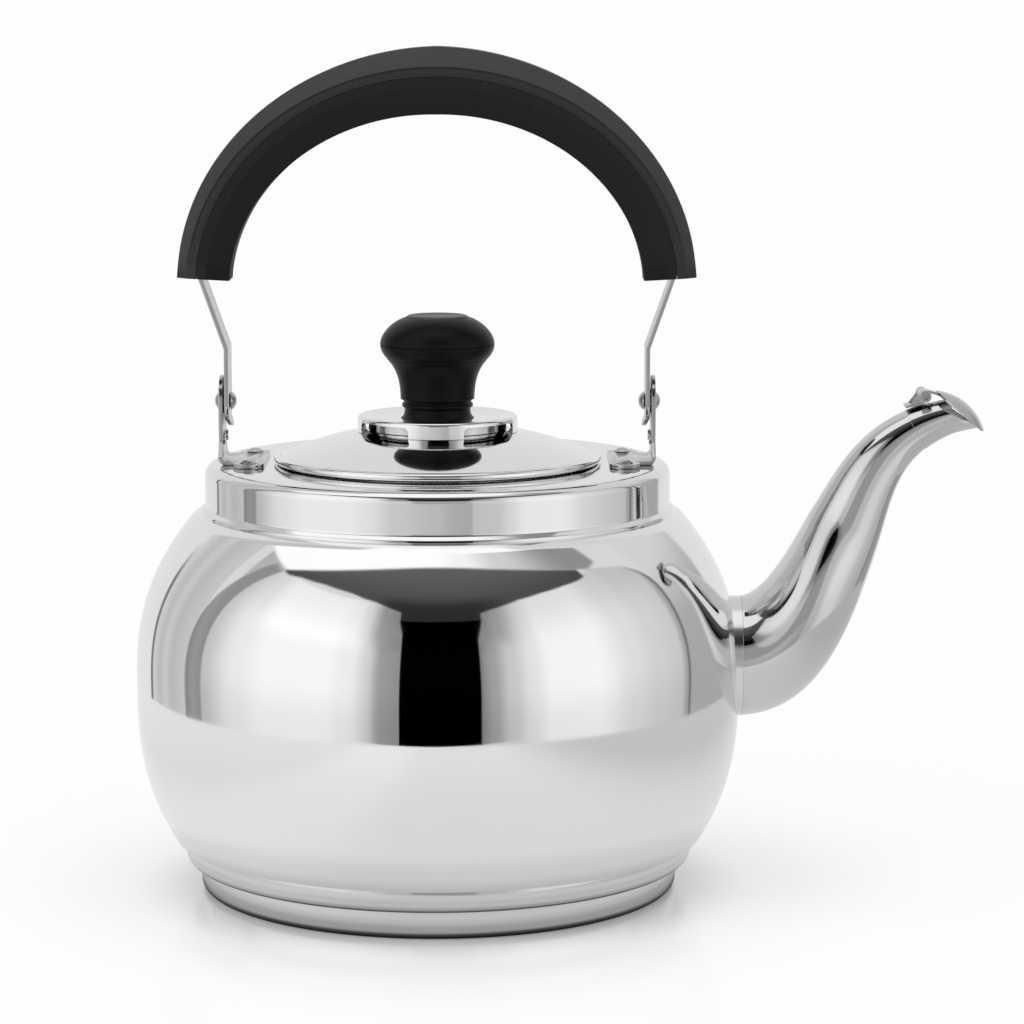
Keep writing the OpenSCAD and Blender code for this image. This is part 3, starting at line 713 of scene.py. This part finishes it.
# The spout lies between two lines, and above them follows one centre line. u runs from 0 at the band
# to 1 where the two lines end and 2 at the mouth. Points are (x, z).
LINE_TOP = [(ROOT_X, SPOUT_Z + SPOUT_ROOT_R), (121.7, 107.7), (132.6, 133.1), (136.9, 139.5)]
LINE_BOTTOM = [(ROOT_X, SPOUT_Z - SPOUT_ROOT_R), (137.2, 63.9), (149.5, 88.3), (161.3, 128.5)]
BEND_TOP, BEND_BOTTOM = np.array(LINE_TOP[3]), np.array(LINE_BOTTOM[3])
CENTRE_LINE = [(BEND_TOP + BEND_BOTTOM) / 2, (155, 147.2), (160.7, 167), (187.5, 172.8)]
CENTRE_RADII = [float(np.linalg.norm(BEND_TOP - BEND_BOTTOM)) / 2, 11.2, 9.2, 5.9]
MOUTH, MOUTH_TILT = np.array([189.0, 173.5]), math.radians(35.5)


def spout_ring(u, extra, sides):
    """A ring round the spout, its radius grown by extra, and the direction the spout has there."""
    if u < 1:
        top = cubic(LINE_TOP, u)
        bottom = cubic(LINE_BOTTOM, u)
        centre = (top + bottom) / 2
        r = float(np.linalg.norm(top - bottom)) / 2
        way = np.array([top[1] - bottom[1], bottom[0] - top[0]]) / (2 * r)
    else:
        centre = cubic(CENTRE_LINE, u - 1)
        way = cubic_slope(CENTRE_LINE, u - 1)
        r = float(cubic([[v] for v in CENTRE_RADII], u - 1)[0])
    r += extra
    ring = []
    for j in range(sides):
        up = r * math.cos(TAU * j / sides)
        across = r * math.sin(TAU * j / sides)
        ring.append(np.array([centre[0] - way[1] * up, across, centre[1] + way[0] * up]))
    return ring, way


def mouth_ring(extra, sides, lift):
    """The spout's last ring, drawn along the spout onto the mouth's slanted plane."""
    ring, way = spout_ring(2.0, extra, sides)
    normal = np.array([math.sin(MOUTH_TILT), math.cos(MOUTH_TILT)])
    out = []
    for p in ring:
        gap = float((MOUTH + normal * lift - p[[0, 2]]) @ normal / (way @ normal))
        out.append(p + np.array([way[0], 0, way[1]]) * gap)
    return out


def tube(u0, steps, outer, inner, sides, lip):
    """The spout's wall from u0 to the mouth, between two offsets, with its lip rounded."""
    def rings(extra):
        return [spout_ring(u0 + (2 - u0) * i / steps, extra, sides)[0] for i in range(steps)]

    soft = lip * 0.7
    mouth = [mouth_ring(outer, sides, -lip), mouth_ring(outer - soft, sides, 0.0)]
    mouth += [mouth_ring(inner + soft, sides, 0.0), mouth_ring(inner, sides, -lip)]
    return sweep(rings(outer) + mouth + rings(inner)[::-1], closed=True)


def spout_band():
    """The short band where the spout joins the body."""
    edge_x = ROOT_X - 0.05
    inner_r = SPOUT_ROOT_R - SPOUT_WALL
    line = [(inner_r, BAND_X), (SPOUT_ROOT_R, BAND_X), (SPOUT_ROOT_R, edge_x, 0.12)]
    line += [(SPOUT_ROOT_R - 0.2, ROOT_X), (inner_r, ROOT_X)]
    return moved(lathe(rounded(line), 160), along_x(0.0, SPOUT_Z))


spout = tube(0.0, 160, 0.0, -SPOUT_WALL, 128, lip=0.2)
sleeve = tube(SLEEVE_FROM, 24, 0.25, -0.1, 96, lip=0.1)
piece("kettle_spout", spout, TUBE_STEEL, "kettle", ["spout"], 40)
piece("kettle_spout_sleeve", sleeve, TUBE_STEEL, "kettle", ["spout_tip"], 40)
piece("kettle_spout_band", spout_band(), BAND_STEEL, "kettle", ["spout_ferrule"], 30)


# ------------ lid and vent cap

def lid_outline():
    radii = [SCREW_HOLE_R + (DOME_EDGE_R - SCREW_HOLE_R) * i / 40 for i in range(41)]
    line = [(r, dome_z(r, LID_T)) for r in radii if r < DOME_EDGE_R - 1.2]
    line += [(56.8, 156.5)] + arc(LID_R - LID_BEAD_R, LID_BEAD_Z, LID_BEAD_R, -120, 118, 28)
    line += [(57.0, 158.4), (56.8, 158.8)]
    return line + [(r, dome_z(r)) for r in reversed(radii)]


def skirt_outline():
    low, high = low_of("lid_skirt")[2], high_of("lid_skirt")[2]
    inner_r = SKIRT_R - SKIRT_T
    return rounded([(inner_r, low, 0.3), (SKIRT_R, low, 0.3), (SKIRT_R, high), (inner_r, high)])


def cap_outline():
    foot = dome_z(CAP_R) + 0.1
    inner_r = CAP_R - CAP_T
    line = [(SCREW_HOLE_R, CAP_DISH_Z - CAP_T), (20, CAP_DISH_Z - CAP_T)]
    line += [(CAP_R - 1.7, CAP_RIM_Z - 1.3, 0.6), (inner_r, CAP_RIM_Z - 2.2, 0.5)]
    line += [(inner_r, foot), (CAP_R, foot)]
    line += arc(CAP_R - CAP_CORNER, CAP_RIM_Z - CAP_CORNER, CAP_CORNER, 0, 98, 14)
    line += [(21.5, CAP_DISH_Z + 0.12), (19, CAP_DISH_Z), (SCREW_HOLE_R, CAP_DISH_Z)]
    return rounded(line, 4)


def notch_solid(turn):
    """What a notch takes out of the vent cap's wall, at a turn in degrees."""
    corners = [(-NOTCH_HALF, NOTCH_LOW_Z), (NOTCH_HALF, NOTCH_LOW_Z)]
    corners += [(NOTCH_HALF, NOTCH_HIGH_Z, NOTCH_CORNER), (-NOTCH_HALF, NOTCH_HIGH_Z, NOTCH_CORNER)]
    rings = [[(x, y, z) for y, z in rounded(corners, 6)] for x in (CAP_R - 7, CAP_R + 7)]
    return moved(sweep(rings), Matrix.Rotation(math.radians(turn), 4, "Z"))


piece("kettle_lid", lathe(lid_outline(), 256), LID_STEEL, "lid", ["lid_dome"], 30)
piece("kettle_lid_skirt", lathe(skirt_outline(), 192), LID_STEEL, "lid", ["lid_skirt"], 30)
vent_cap = piece("kettle_vent_cap", lathe(cap_outline(), 256), CAP_STEEL, "lid", ["vent_cap"], 30)
for quarter in range(4):
    cut(vent_cap, notch_solid(45 + 90 * quarter))

ring_line = [(RING_R - RING_T, dome_z(RING_R - RING_T) + 0.1), (RING_R, dome_z(RING_R) + 0.2)]
ring_line += [(RING_R, RING_TOP_Z), (RING_R - RING_T, RING_TOP_Z)]
piece("kettle_vent_ring", lathe(ring_line, 192), CAP_STEEL, "lid", ["vent_ring"], 30)


# ------------ knob

def curve(points, n):
    return [tuple(cubic(points, i / n)) for i in range(n + 1)]


def knob_foot_outline():
    """The flared foot, with one bead round its neck."""
    line = [(SCREW_HOLE_R, CAP_DISH_Z), (13.3, CAP_DISH_Z), (12.35, 173.0), (12.0, 174.2), (11.9, 175.6)]
    line += arc(11.9, 176.8, 1.0, -68, 68, 14)
    return line + [(12.2, 178.1), (12.5, LEDGE_Z), (SCREW_HOLE_R, LEDGE_Z)]


def knob_stem_outline():
    """The waist, which widens under a soft ledge up to the parting line."""
    line = [(SCREW_HOLE_R, LEDGE_Z), (13.0, LEDGE_Z), (13.4, LEDGE_Z + 0.3)]
    line += curve([(13.4, 179.4), (13.5, 185.5), (14.9, 190), (18.1, 193.3)], 20)
    line += curve([(18.35, 193.75), (19.4, 194.8), (20.6, 196.4), (20.72, 198.62)], 14)
    return line + [(20.5, PARTING_Z - 0.04), (20.5, PARTING_Z), (SCREW_HOLE_R, PARTING_Z)]


def knob_crown_outline():
    line = [(0, PARTING_Z), (20.5, PARTING_Z), (20.5, PARTING_Z + 0.04)]
    line += curve([(20.72, 198.98), (20.7, 202.5), (16.5, 207), (11.7, 208.5)], 28)
    return line + [(11.35, 208.4), (11.2, 208.1), (11.2, DISC_Z), (0, DISC_Z)]


def knob_disc_outline():
    """The disc in the knob's top, with a raised ring round its edge."""
    line = [(0, DISC_Z), (11.1, DISC_Z), (11.1, 208.7), (10.9, 209.0), (10.3, 209.3)]
    return line + [(9.0, 209.28), (8.5, 209.1), (8.0, 209.05), (0, 209.2)]


for name, outline, segs, material, node in (
        ("kettle_knob_foot", knob_foot_outline(), 128, KNOB_BLACK, "knob_collar"),
        ("kettle_knob_stem", knob_stem_outline(), 160, KNOB_BLACK, "knob_stem"),
        ("kettle_knob_crown", knob_crown_outline(), 160, KNOB_BLACK, "knob_cap"),
        ("kettle_knob_disc", knob_disc_outline(), 128, DISC_BLACK, "knob_disc")):
    piece(name, lathe(outline, segs), material, "lid", [node], 34)


# ------------ flap and hinge

FLAP_AT, FLAP_TILT = (189.5, 0.0, 174.5), math.radians(39.7)
FLAP_R, FLAP_RISE, FLAP_T = 11.5, 3.6, 0.8
FLAP_PLACE = Matrix.Translation(FLAP_AT) @ Matrix.Rotation(FLAP_TILT, 4, "Y")
SLOT_AT, SLOT_HALF_W, SLOT_HALF_L = 5.75, 0.45, 2.5
KNUCKLE_R, BORE_R, CURL = 2.1, 1.2, 290
ARM_T, ARM_HALF, ARM_INSET = 0.8, 2.95, 3.5


def flap_solid():
    """A shallow dish, part of a thin ball."""
    ball = (FLAP_R ** 2 + FLAP_RISE ** 2) / (2 * FLAP_RISE)
    edge = math.degrees(math.asin(FLAP_R / ball))
    inside = arc(0, FLAP_RISE - ball, ball - FLAP_T, 90 - edge, 90, 22)[::-1]
    outside = arc(0, FLAP_RISE - ball, ball, 90 - edge + 0.6, 90, 22)
    return moved(lathe(on_axis(inside + outside), 128), FLAP_PLACE)


def vent_slot_solid():
    corners = [(-SLOT_HALF_W, -SLOT_HALF_L), (SLOT_HALF_W, -SLOT_HALF_L)]
    corners += [(SLOT_HALF_W, SLOT_HALF_L), (-SLOT_HALF_W, SLOT_HALF_L)]
    slot = rounded([(x, y, 0.4) for x, y in corners], 4)
    return moved(sweep([[(SLOT_AT + x, y, z) for x, y in slot] for z in (1.0, 6.0)]), FLAP_PLACE)


def flap_arm():
    """One strip under the flap, curled round the pin at its end. Points are (x, z)."""
    hinge = JOINT_AT["flap_hinge"][[0, 2]]
    along = np.array([math.cos(FLAP_TILT), -math.sin(FLAP_TILT)])
    outward = np.array([math.sin(FLAP_TILT), math.cos(FLAP_TILT)])
    start = hinge + np.array([0.9, KNUCKLE_R - ARM_T])
    end = np.array(FLAP_AT)[[0, 2]] - ARM_INSET * along + (FLAP_RISE - FLAP_T - 0.4) * outward
    run = (end - start) / np.linalg.norm(end - start)
    upward = np.array([-run[1], run[0]])
    lean = math.degrees(math.atan2(upward[1], upward[0]))
    curl = arc(0, 0, KNUCKLE_R, lean, lean + CURL, 40) + arc(0, 0, BORE_R, lean + CURL, lean, 40)
    strip = [end, end + upward * ARM_T] + [hinge + p for p in np.array(curl)]
    return sweep([[(x, y, z) for x, z in strip] for y in (-ARM_HALF, ARM_HALF)])


flap = piece("kettle_flap", flap_solid(), FLAP_STEEL, "flap", ["flap"], 34)
cut(flap, vent_slot_solid())
piece("kettle_flap_arm", flap_arm(), FLAP_STEEL, "flap", (), 34)


# ------------ CAD nodes that are kept or softened

KEPT = {
    "base_core": ALUMINIUM, "flap_pin": RIVET, "pivot_washers": RIVET, "grip_screws": RIVET,
    "whistle_housing": STAMPED, "whistle_plate_lower": STAMPED, "whistle_plate_upper": STAMPED,
    "knob_screw": RIVET, "knob_washer": RIVET,
}
for node_name, material in KEPT.items():
    data = frame["nodes"][node_name].data
    data.materials.clear()
    data.materials.append(material)

for node, name, edge in (
        ("bracket_left", "kettle_bracket_left", 0.3), ("bracket_right", "kettle_bracket_right", 0.3),
        ("handle_band", "kettle_handle_strip", 0.3), ("hinge_bracket", "kettle_hinge_saddle", 0.15)):
    softened(node, name, edge)


# ------------ rivets

def rivet(head_r, head_h, shank_r, shank, segs):
    """A domed head that stands on Z = 0, and its shank below."""
    ball = (head_r ** 2 + head_h ** 2) / (2 * head_h)
    low = math.degrees(math.asin((ball - head_h) / ball))
    dome = on_axis(arc(0, head_h - ball, ball, low, 90, 14))
    line = [(0, -shank), (shank_r, -shank), (shank_r, -0.01), (head_r - 0.25, 0.0), (head_r, 0.12)]
    return lathe(line + dome[1:], segs)


def bracket_rivets():
    """Four rivets, each with a head above the bracket and one under the deck."""
    heads = []
    for sx in (-1, 1):
        for sy in (-1, 1):
            for z, turn in ((DECK_Z + BRACKET_T, 0.0), (DECK_Z - DECK_T, math.pi)):
                place = Matrix.Translation((RIVET_X * sx, RIVET_Y * sy, z)) @ Matrix.Rotation(turn, 4, "X")
                heads.append(moved(rivet(3.1, 1.4, 2.0, 1.0, 48), place))
    return joined(heads)


def pivot_rivet(side):
    """The rivet the handle swings on, with a head at each end."""
    inner = moved(rivet(3.4, 2.1, 2.5, 1.9, 56), along_x(side * PIVOT_INNER_X, PIVOT_Z, side > 0))
    outer = moved(rivet(3.4, 1.9, 2.5, 1.9, 56), along_x(side * PIVOT_OUTER_X, PIVOT_Z, side < 0))
    return joined([inner, outer])


piece("kettle_bracket_rivets", bracket_rivets(), RIVET, "kettle", ["bracket_rivets"])
for side, node in ((1, "pivot_rivet_right"), (-1, "pivot_rivet_left")):
    piece("kettle_" + node, pivot_rivet(side), RIVET, "kettle", [node])


# ------------ grip

# The grip follows a half ellipse; angles run from 0 at its top, in degrees
ARC_A, ARC_B, ARC_Z = 86.2, 76.1, 219.0
GRIP_END, TIP_LENGTH = 83.0, 4.0
GRIP_HALF, TIP_HALF = high_of("grip_outer")[1], 9.8
OUTER_TOP, OUTER_END, OUTER_HALF = 10.6, 7.2, 8.0
INNER_TOP, INNER_END, INNER_HALF = 13.5, 11.7, 9.2
FLAT, CHANNEL_HALF, CHANNEL_DEEP = 3.65, 9.1, 0.85
GROOVE_END, GROOVE_FADE, GROOVE_DEEP = 78.5, 2.5, 0.4

tips = [GRIP_END + 0.5 * i for i in range(1, 9)]
GRIP_ANGLES = [-a for a in reversed(tips)] + [GRIP_END * (2 * i / 166 - 1) for i in range(167)] + tips


def grip_ring(a, section):
    """A section, given as (y, distance out from the ellipse), at an angle of the grip."""
    sine = math.sin(math.radians(a))
    cosine = math.cos(math.radians(a))
    at = np.array([ARC_A * sine, ARC_Z + ARC_B * cosine])
    out = np.array([ARC_B * sine, ARC_A * cosine])
    out /= np.linalg.norm(out)
    return [(at[0] + out[0] * o, y, at[1] + out[1] * o) for y, o in section]


def grip_half(a):
    """Half the grip's width, which narrows over its last stretch."""
    tip = max(0.0, (abs(a) - GRIP_END) / TIP_LENGTH)
    return GRIP_HALF + (TIP_HALF - GRIP_HALF) * tip


def grip_depth(a, top, end):
    return top + (end - top) * min(abs(a) / GRIP_END, 1.0)


def channel(side):
    """Room for the handle's strip, in the outer moulding (1) or the inner one (-1)."""
    half = CHANNEL_HALF * side
    mouth = 0.1 * side
    floor = CHANNEL_DEEP * side
    return [(half, mouth), (half, floor), (-half, floor), (-half, mouth)]


def outer_section(a):
    """The outer moulding: a flat top with wide chamfers, and a groove along each side."""
    half = grip_half(a)
    fade = max(0.0, min(1.0, (GROOVE_END - abs(a)) / GROOVE_FADE))
    dip = GROOVE_DEEP * math.sqrt(1 - (1 - fade) ** 2)
    left = [(-half + 0.12, 0.1), (-half, 0.25), (-half, 0.55)]
    left += [(-half + dip, 0.85), (-half + dip, 3.05), (-half, 3.35)]
    left += [(-half, FLAT, 0.5), (-OUTER_HALF, grip_depth(a, OUTER_TOP, OUTER_END), 0.9)]
    return rounded(left + mirrored(left) + channel(1), 5)


def inner_section(a):
    """The inner moulding, on the fingers' side."""
    half = grip_half(a)
    left = [(-INNER_HALF, -grip_depth(a, INNER_TOP, INNER_END), 0.9)]
    left += [(-half, -FLAT, 0.5), (-half, -0.2), (-half + 0.12, -0.02)]
    return rounded(left + channel(-1) + mirrored(left), 5)


outer_grip = sweep([grip_ring(a, outer_section(a)) for a in GRIP_ANGLES])
inner_grip = sweep([grip_ring(a, inner_section(a)) for a in GRIP_ANGLES])
piece("kettle_grip_outer", outer_grip, GRIP_BLACK, "handle", ["grip_outer"], 28)
piece("kettle_grip_inner", inner_grip, GRIP_INSIDE, "handle", ["grip_inner"], 28)


# ------------ stage: floor, tent and flag

FLOOR_R, TABLE_R, TENT_R = 9.0, 0.44, 5.0
TENT_EYE_Z = 0.09  # height from which the tent's elevations are measured
FLAG_Y, FLAG_LEFT, FLAG_RIGHT = -0.139, -0.052, 0.058
FLAG_LOW, FLAG_HIGH = 0.0668, 0.1325


def glossy_only(obj):
    """Seen in reflections only, as a studio card outside the picture is."""
    for ray in ("camera", "diffuse", "transmission", "volume_scatter", "shadow"):
        setattr(obj, "visible_" + ray, False)


def stage_mesh(name, verts, faces, material):
    mesh = bpy.data.meshes.new(name)
    mesh.from_pydata(verts, [], faces)
    mesh.materials.append(material)
    obj = bpy.data.objects.new(name, mesh)
    bpy.context.scene.collection.objects.link(obj)
    return obj


def floor_material():
    """Pale matt table that melts into the white surround away from the object. Its even white glow, a
    quarter of its colour by the foot and all of it far out, is painted light that weakens the real shadow
    round the object.
    """
    n = Nodes("stage_floor")
    x, y, _ = n.position()
    radius = n.hypot(x, y)
    table = n.add("ShaderNodeBsdfDiffuse")
    table.inputs["Color"].default_value = (0.9, 0.9, 0.9, 1)
    shine = n.add("ShaderNodeBsdfGlossy")
    shine.inputs["Color"].default_value = (0.9, 0.9, 0.9, 1)
    shine.inputs["Roughness"].default_value = 0.16
    top = n.shaders_mixed(n.ramp(radius, 0.09, 0.3, 0.42, 0.2), table.outputs[0], shine.outputs[0])
    # painted light: the glow's share, which lightens the shadow near the foot
    fade = n.profile(radius, [(0.088, 0.25), (0.12, 0.54), (0.2, 0.84), (0.36, 1.0)])
    return n.finished(n.shaders_mixed(fade, top, n.glow(1.0, white=0.985)))


def mirrored_table_material():
    """A painted reflection of the table, glowing for the steel alone: pale, with painted shade close round
    the foot, painted light on the left and painted shade towards the right.
    """
    n = Nodes("stage_mirrored_table")
    x, y, _ = n.position()
    radius = n.hypot(x, y)
    shade = n.profile(radius, [(0.087, 0.08), (0.095, 0.45), (0.11, 0.66), (0.13, 0.77)])
    shade = n.plus(shade, n.ramp(radius, 0.12, 0.44, 0.0, 0.07))
    # painted light brighter on the left, painted shade darker on the right
    across = n.profile(
        x, [(-0.24, 1.0), (-0.15, 1.09), (-0.09, 1.09), (-0.02, 1.0), (0.12, 1.0), (0.34, 0.72)])
    return n.finished(n.glow(n.times(shade, across)))


def disc_sheet(radius, z, segs=128):
    turns = [TAU * j / segs for j in range(segs)]
    verts = [(0, 0, z)] + [(radius * math.cos(a), radius * math.sin(a), z) for a in turns]
    faces = [[0, 1 + j, 1 + (j + 1) % segs] for j in range(segs)]
    return verts, faces


def dome_sheet(radius, segs=64, rows=32):
    """A whole ball, as rings from its lowest point to its highest."""
    verts, faces = [], []
    for i in range(rows + 1):
        rise = math.pi * (i / rows - 0.5)
        ring_r = radius * math.cos(rise)
        for j in range(segs):
            a = TAU * j / segs
            verts.append((ring_r * math.cos(a), ring_r * math.sin(a), radius * math.sin(rise)))
    for i in range(rows):
        for j in range(segs):
            k = (j + 1) % segs
            faces.append([i * segs + j, i * segs + k, (i + 1) * segs + k, (i + 1) * segs + j])
    return verts, faces


# The tent is drawn in degrees: az is the turn from the front towards the spout, el the height above
# the horizon. Each of these functions gives a glow, an edge or a mask.

def surround_glow(n, az, el):
    """The tent's back and sides, dimmer behind the spout and streaked behind the left."""
    level = n.profile(el, [(-12, 0.83), (10, 0.8), (40, 0.76)])
    behind_spout = n.profile(el, [(-12, 0.42), (8, 0.44), (32, 0.72)])
    level = n.over(level, behind_spout, n.band(az, 108.0, 140.0, 2.0))
    streaks = n.profile(az, [(-134, 0.66), (-128, 0.56), (-123, 0.64), (-118, 0.55), (-108, 0.62)])
    return n.over(level, streaks, n.band(az, -135.0, -106.0, 1.0))


def panel_glow(n, az, el):
    """Two bright panels, left and right of a dimmer front."""
    panel = n.profile(az, [
        (-108, 0.57), (-98, 0.6), (-80, 0.93), (-66, 1.05), (-42, 1.05), (-34, 0.96), (-18, 0.72), (0, 0.62),
        (10, 0.52), (17.2, 0.5), (18.2, 0.67), (30, 0.7), (37, 0.86), (44, 1.02), (62, 1.04), (80, 0.82),
        (92, 0.72), (104, 0.66), (108, 0.42)])
    panel = n.times(panel, n.profile(el, [(-14, 0.86), (4, 1.0), (20, 1.0), (44, 0.8)]))
    glare = n.times(n.band(az, -76.0, -27.0, 5.0), n.band(el, 22.0, 46.0, 5.0))
    panel = n.plus(panel, n.times(glare, 0.12))
    behind_flag = n.times(n.band(az, -11.0, 15.5, 1.5), n.band(el, 0.0, 27.0, 2.0))
    return n.over(panel, 0.42, behind_flag)


def right_edge(n, el):
    """Where the right panel ends; it leans inwards towards its top."""
    corner = n.math("DIVIDE", n.math("MAXIMUM", n.minus(el, 20.0), 0.0), 23.0)
    return n.bent(corner, 2.5, -19.0, 108.5)


def left_strip_mask(n, az, el):
    """A dark strip along the left panel, between two edges that lean in with height."""
    rise = n.math("MAXIMUM", n.math("DIVIDE", n.plus(el, 12.0), 54.0), 0.0)
    outer = n.bent(rise, 3.0, 15.0, -108.0)
    inner = n.bent(rise, 4.0, 12.4, -98.0)
    strip = n.times(n.edge(n.minus(az, outer), 0.6), n.edge(n.minus(inner, az), 0.6))
    return n.times(strip, n.ramp(el, 42.0, 45.0, 1.0, 0.0))


def ceiling_edge(n, az):
    """The ceiling's lower edge over the front, an arch that is never lower than the panels' top."""
    side = n.math("ABSOLUTE", n.minus(az, 1.0))
    return n.math("MAXIMUM", n.bent(n.math("DIVIDE", side, 86.0), 2.0, -20.0, 63.8), 44.6)


def ceiling_glow(n, az, el):
    """The lit ceiling, which darkens towards the spout but is bright straight above."""
    level = n.profile(az, [(0, 1.12), (20, 1.0), (45, 0.7), (80, 0.3)])
    return n.math("MAXIMUM", level, n.profile(el, [(60, 0.0), (72, 1.1)]))


def dark_gap_mask(n, az, el, top):
    """The black gap between panels and ceiling, with a deep notch over the flag."""
    bottom = n.profile(az, [
        (-80, 43.6), (-73, 45.3), (-58, 47.0), (-43, 46.9), (-36, 45.8), (-29, 44.9), (-22.6, 43.2),
        (-15.6, 41.2), (-15.3, 36.9), (19.9, 36.9), (20.2, 40.4), (26, 41.8), (33, 43.0), (40, 44.3),
        (53, 44.8), (66, 44.3), (75, 43.5)], smooth=False)
    inside = n.times(n.edge(n.minus(el, bottom), 0.5), n.edge(n.minus(top, el), 0.7))
    return n.times(inside, n.band(az, -84.0, 80.0, 1.0))


def shade_over_flag(n, az, el):
    """How far the tent darkens in line with the flag's soft sides, above the flag."""
    soft = n.profile(az, [
        (-34, 0.0), (-29, 0.12), (-22, 0.48), (-15.5, 0.55), (20.0, 0.55), (26, 0.4), (34, 0.08), (38, 0.0)])
    return n.times(n.times(soft, n.ramp(el, 19.0, 29.0)), n.ramp(el, 44.0, 50.0, 1.0, 0.0))


def core_over_flag_mask(n, az, el):
    """The black middle above the flag, which widens with height up to the gap."""
    widening = 0.29
    reach = n.math("MULTIPLY_ADD", el, widening, 15.2 - 28 * widening)
    inside = n.edge(n.minus(reach, n.math("ABSOLUTE", n.minus(az, 2.3))), 0.3)
    return n.times(inside, n.band(el, 27.5, 37.1, 0.3))


def tent_material():
    """The light tent, whose glow depends on the direction from the object."""
    n = Nodes("stage_tent")
    x, y, z = n.position()
    az = n.math("DEGREES", n.math("ARCTAN2", x, n.times(y, -1.0)))
    el = n.math("DEGREES", n.math("ARCTAN2", n.minus(z, TENT_EYE_Z), n.hypot(x, y)))

    past_right = n.minus(az, right_edge(n, el))
    front = n.times(n.ramp(az, -100.6, -99.4), n.ramp(past_right, -0.6, 0.6, 1.0, 0.0))
    panels = n.times(front, n.band(el, -60.0, 44.6, 0.5))
    level = n.over(surround_glow(n, az, el), panel_glow(n, az, el), panels)

    strip_glow = n.profile(az, [(-108, 0.26), (-103, 0.34), (-98, 0.3)])
    level = n.over(level, strip_glow, left_strip_mask(n, az, el))
    left_line = n.times(n.band(az, -137.5, -135.0, 0.5), n.ramp(el, 9.0, 21.0, 1.0, 0.0))
    level = n.over(level, 0.2, left_line)
    right_line = n.times(n.band(past_right, 0.0, 1.8, 0.5), n.ramp(el, 26.0, 44.0, 1.0, 0.0))
    level = n.over(level, 0.2, right_line)

    top = ceiling_edge(n, az)
    above = n.times(n.edge(n.minus(el, top), 0.8), n.band(az, -103.0, 92.0, 1.5))
    level = n.over(level, ceiling_glow(n, az, el), n.math("MAXIMUM", above, n.ramp(el, 70.0, 74.0)))
    gap_glow = n.profile(el, [(38, 0.06), (62, 0.12)])
    level = n.over(level, gap_glow, dark_gap_mask(n, az, el, top))

    level = n.times(level, n.minus(1.0, shade_over_flag(n, az, el)))
    level = n.over(level, 0.0, core_over_flag_mask(n, az, el))
    return n.finished(n.glow(level))


def flag_material():
    """Black cloth in the middle of the flag, thinning out over its sides."""
    n = Nodes("stage_flag")
    x, _, z = n.position()
    sides = n.profile(x, [
        (-0.048, 0.0), (-0.038, 0.14), (-0.029, 0.5), (-0.0187, 0.56),
        (0.0270, 0.56), (0.034, 0.42), (0.045, 0.08), (0.056, 0.0)])
    sides = n.times(sides, n.ramp(z, 0.119, FLAG_HIGH, 1.0, 0.0))
    core = n.band(x, -0.0183, 0.0264, 0.0004)
    clear = n.add("ShaderNodeBsdfTransparent")
    cover = n.math("MAXIMUM", sides, core)
    return n.finished(n.shaders_mixed(cover, clear.outputs[0], n.glow(0.0)))


floor = stage_mesh("stage_floor", *disc_sheet(FLOOR_R, 0.0), floor_material())
floor.visible_glossy = False
glossy_only(stage_mesh("stage_table_mirrored", *disc_sheet(TABLE_R, -0.0004), mirrored_table_material()))
glossy_only(stage_mesh("stage_tent", *dome_sheet(TENT_R), tent_material()))

# A small black flag close to the body's front, low enough that the collar doesn't see it
flag_corners = [(FLAG_LEFT, FLAG_Y, FLAG_LOW), (FLAG_RIGHT, FLAG_Y, FLAG_LOW)]
flag_corners += [(FLAG_RIGHT, FLAG_Y, FLAG_HIGH), (FLAG_LEFT, FLAG_Y, FLAG_HIGH)]
glossy_only(stage_mesh("stage_flag", flag_corners, [[0, 1, 2, 3]], flag_material()))


# ------------ light and camera

# The world is the white background only; the steel sees the tent instead
world = bpy.data.worlds.new("stage_world")
world.use_nodes = True
world.node_tree.nodes["Background"].inputs["Color"].default_value = (0.99, 0.99, 0.99, 1)
world.cycles_visibility.diffuse = False
world.cycles_visibility.glossy = False
bpy.context.scene.world = world

# Soft lamps: place and aim in metres, size in metres, power in watts
for name, place, aim, size, watts in (
        ("stage_top", (0.0, -0.2, 1.7), (0, 0, 0), 2.2, 46.0),
        ("stage_key", (-1.3, -1.1, 1.0), (0, 0, 0.15), 1.2, 12.0),
        ("stage_fill", (1.4, -0.9, 0.9), (0, 0, 0.15), 1.2, 2.5),
        ("stage_back", (0.3, 1.6, 1.0), (0, 0, 0.15), 1.4, 5.0)):
    lamp = bpy.data.lights.new(name, "AREA")
    lamp.size = size
    lamp.energy = watts
    obj = bpy.data.objects.new(name, lamp)
    obj.location = place
    obj.rotation_euler = (Vector(aim) - Vector(place)).to_track_quat("-Z", "Y").to_euler()
    obj.visible_glossy = False
    obj.visible_camera = False
    bpy.context.scene.collection.objects.link(obj)

CAMERA_AT, CAMERA_DOWN = (0.027, -1.300, 0.3256), 8.24  # metres, and degrees below the horizon
camera = bpy.data.cameras.new("camera")
camera.lens = 126.76
camera.sensor_width = 36.0
camera.clip_start = 0.05
camera.clip_end = 50.0
view = bpy.data.objects.new("camera", camera)
view.location = CAMERA_AT
view.rotation_euler = (math.radians(90 - CAMERA_DOWN), 0, 0)
bpy.context.scene.collection.objects.link(view)
bpy.context.scene.camera = view
bpy.context.scene.view_settings.view_transform = "Standard"
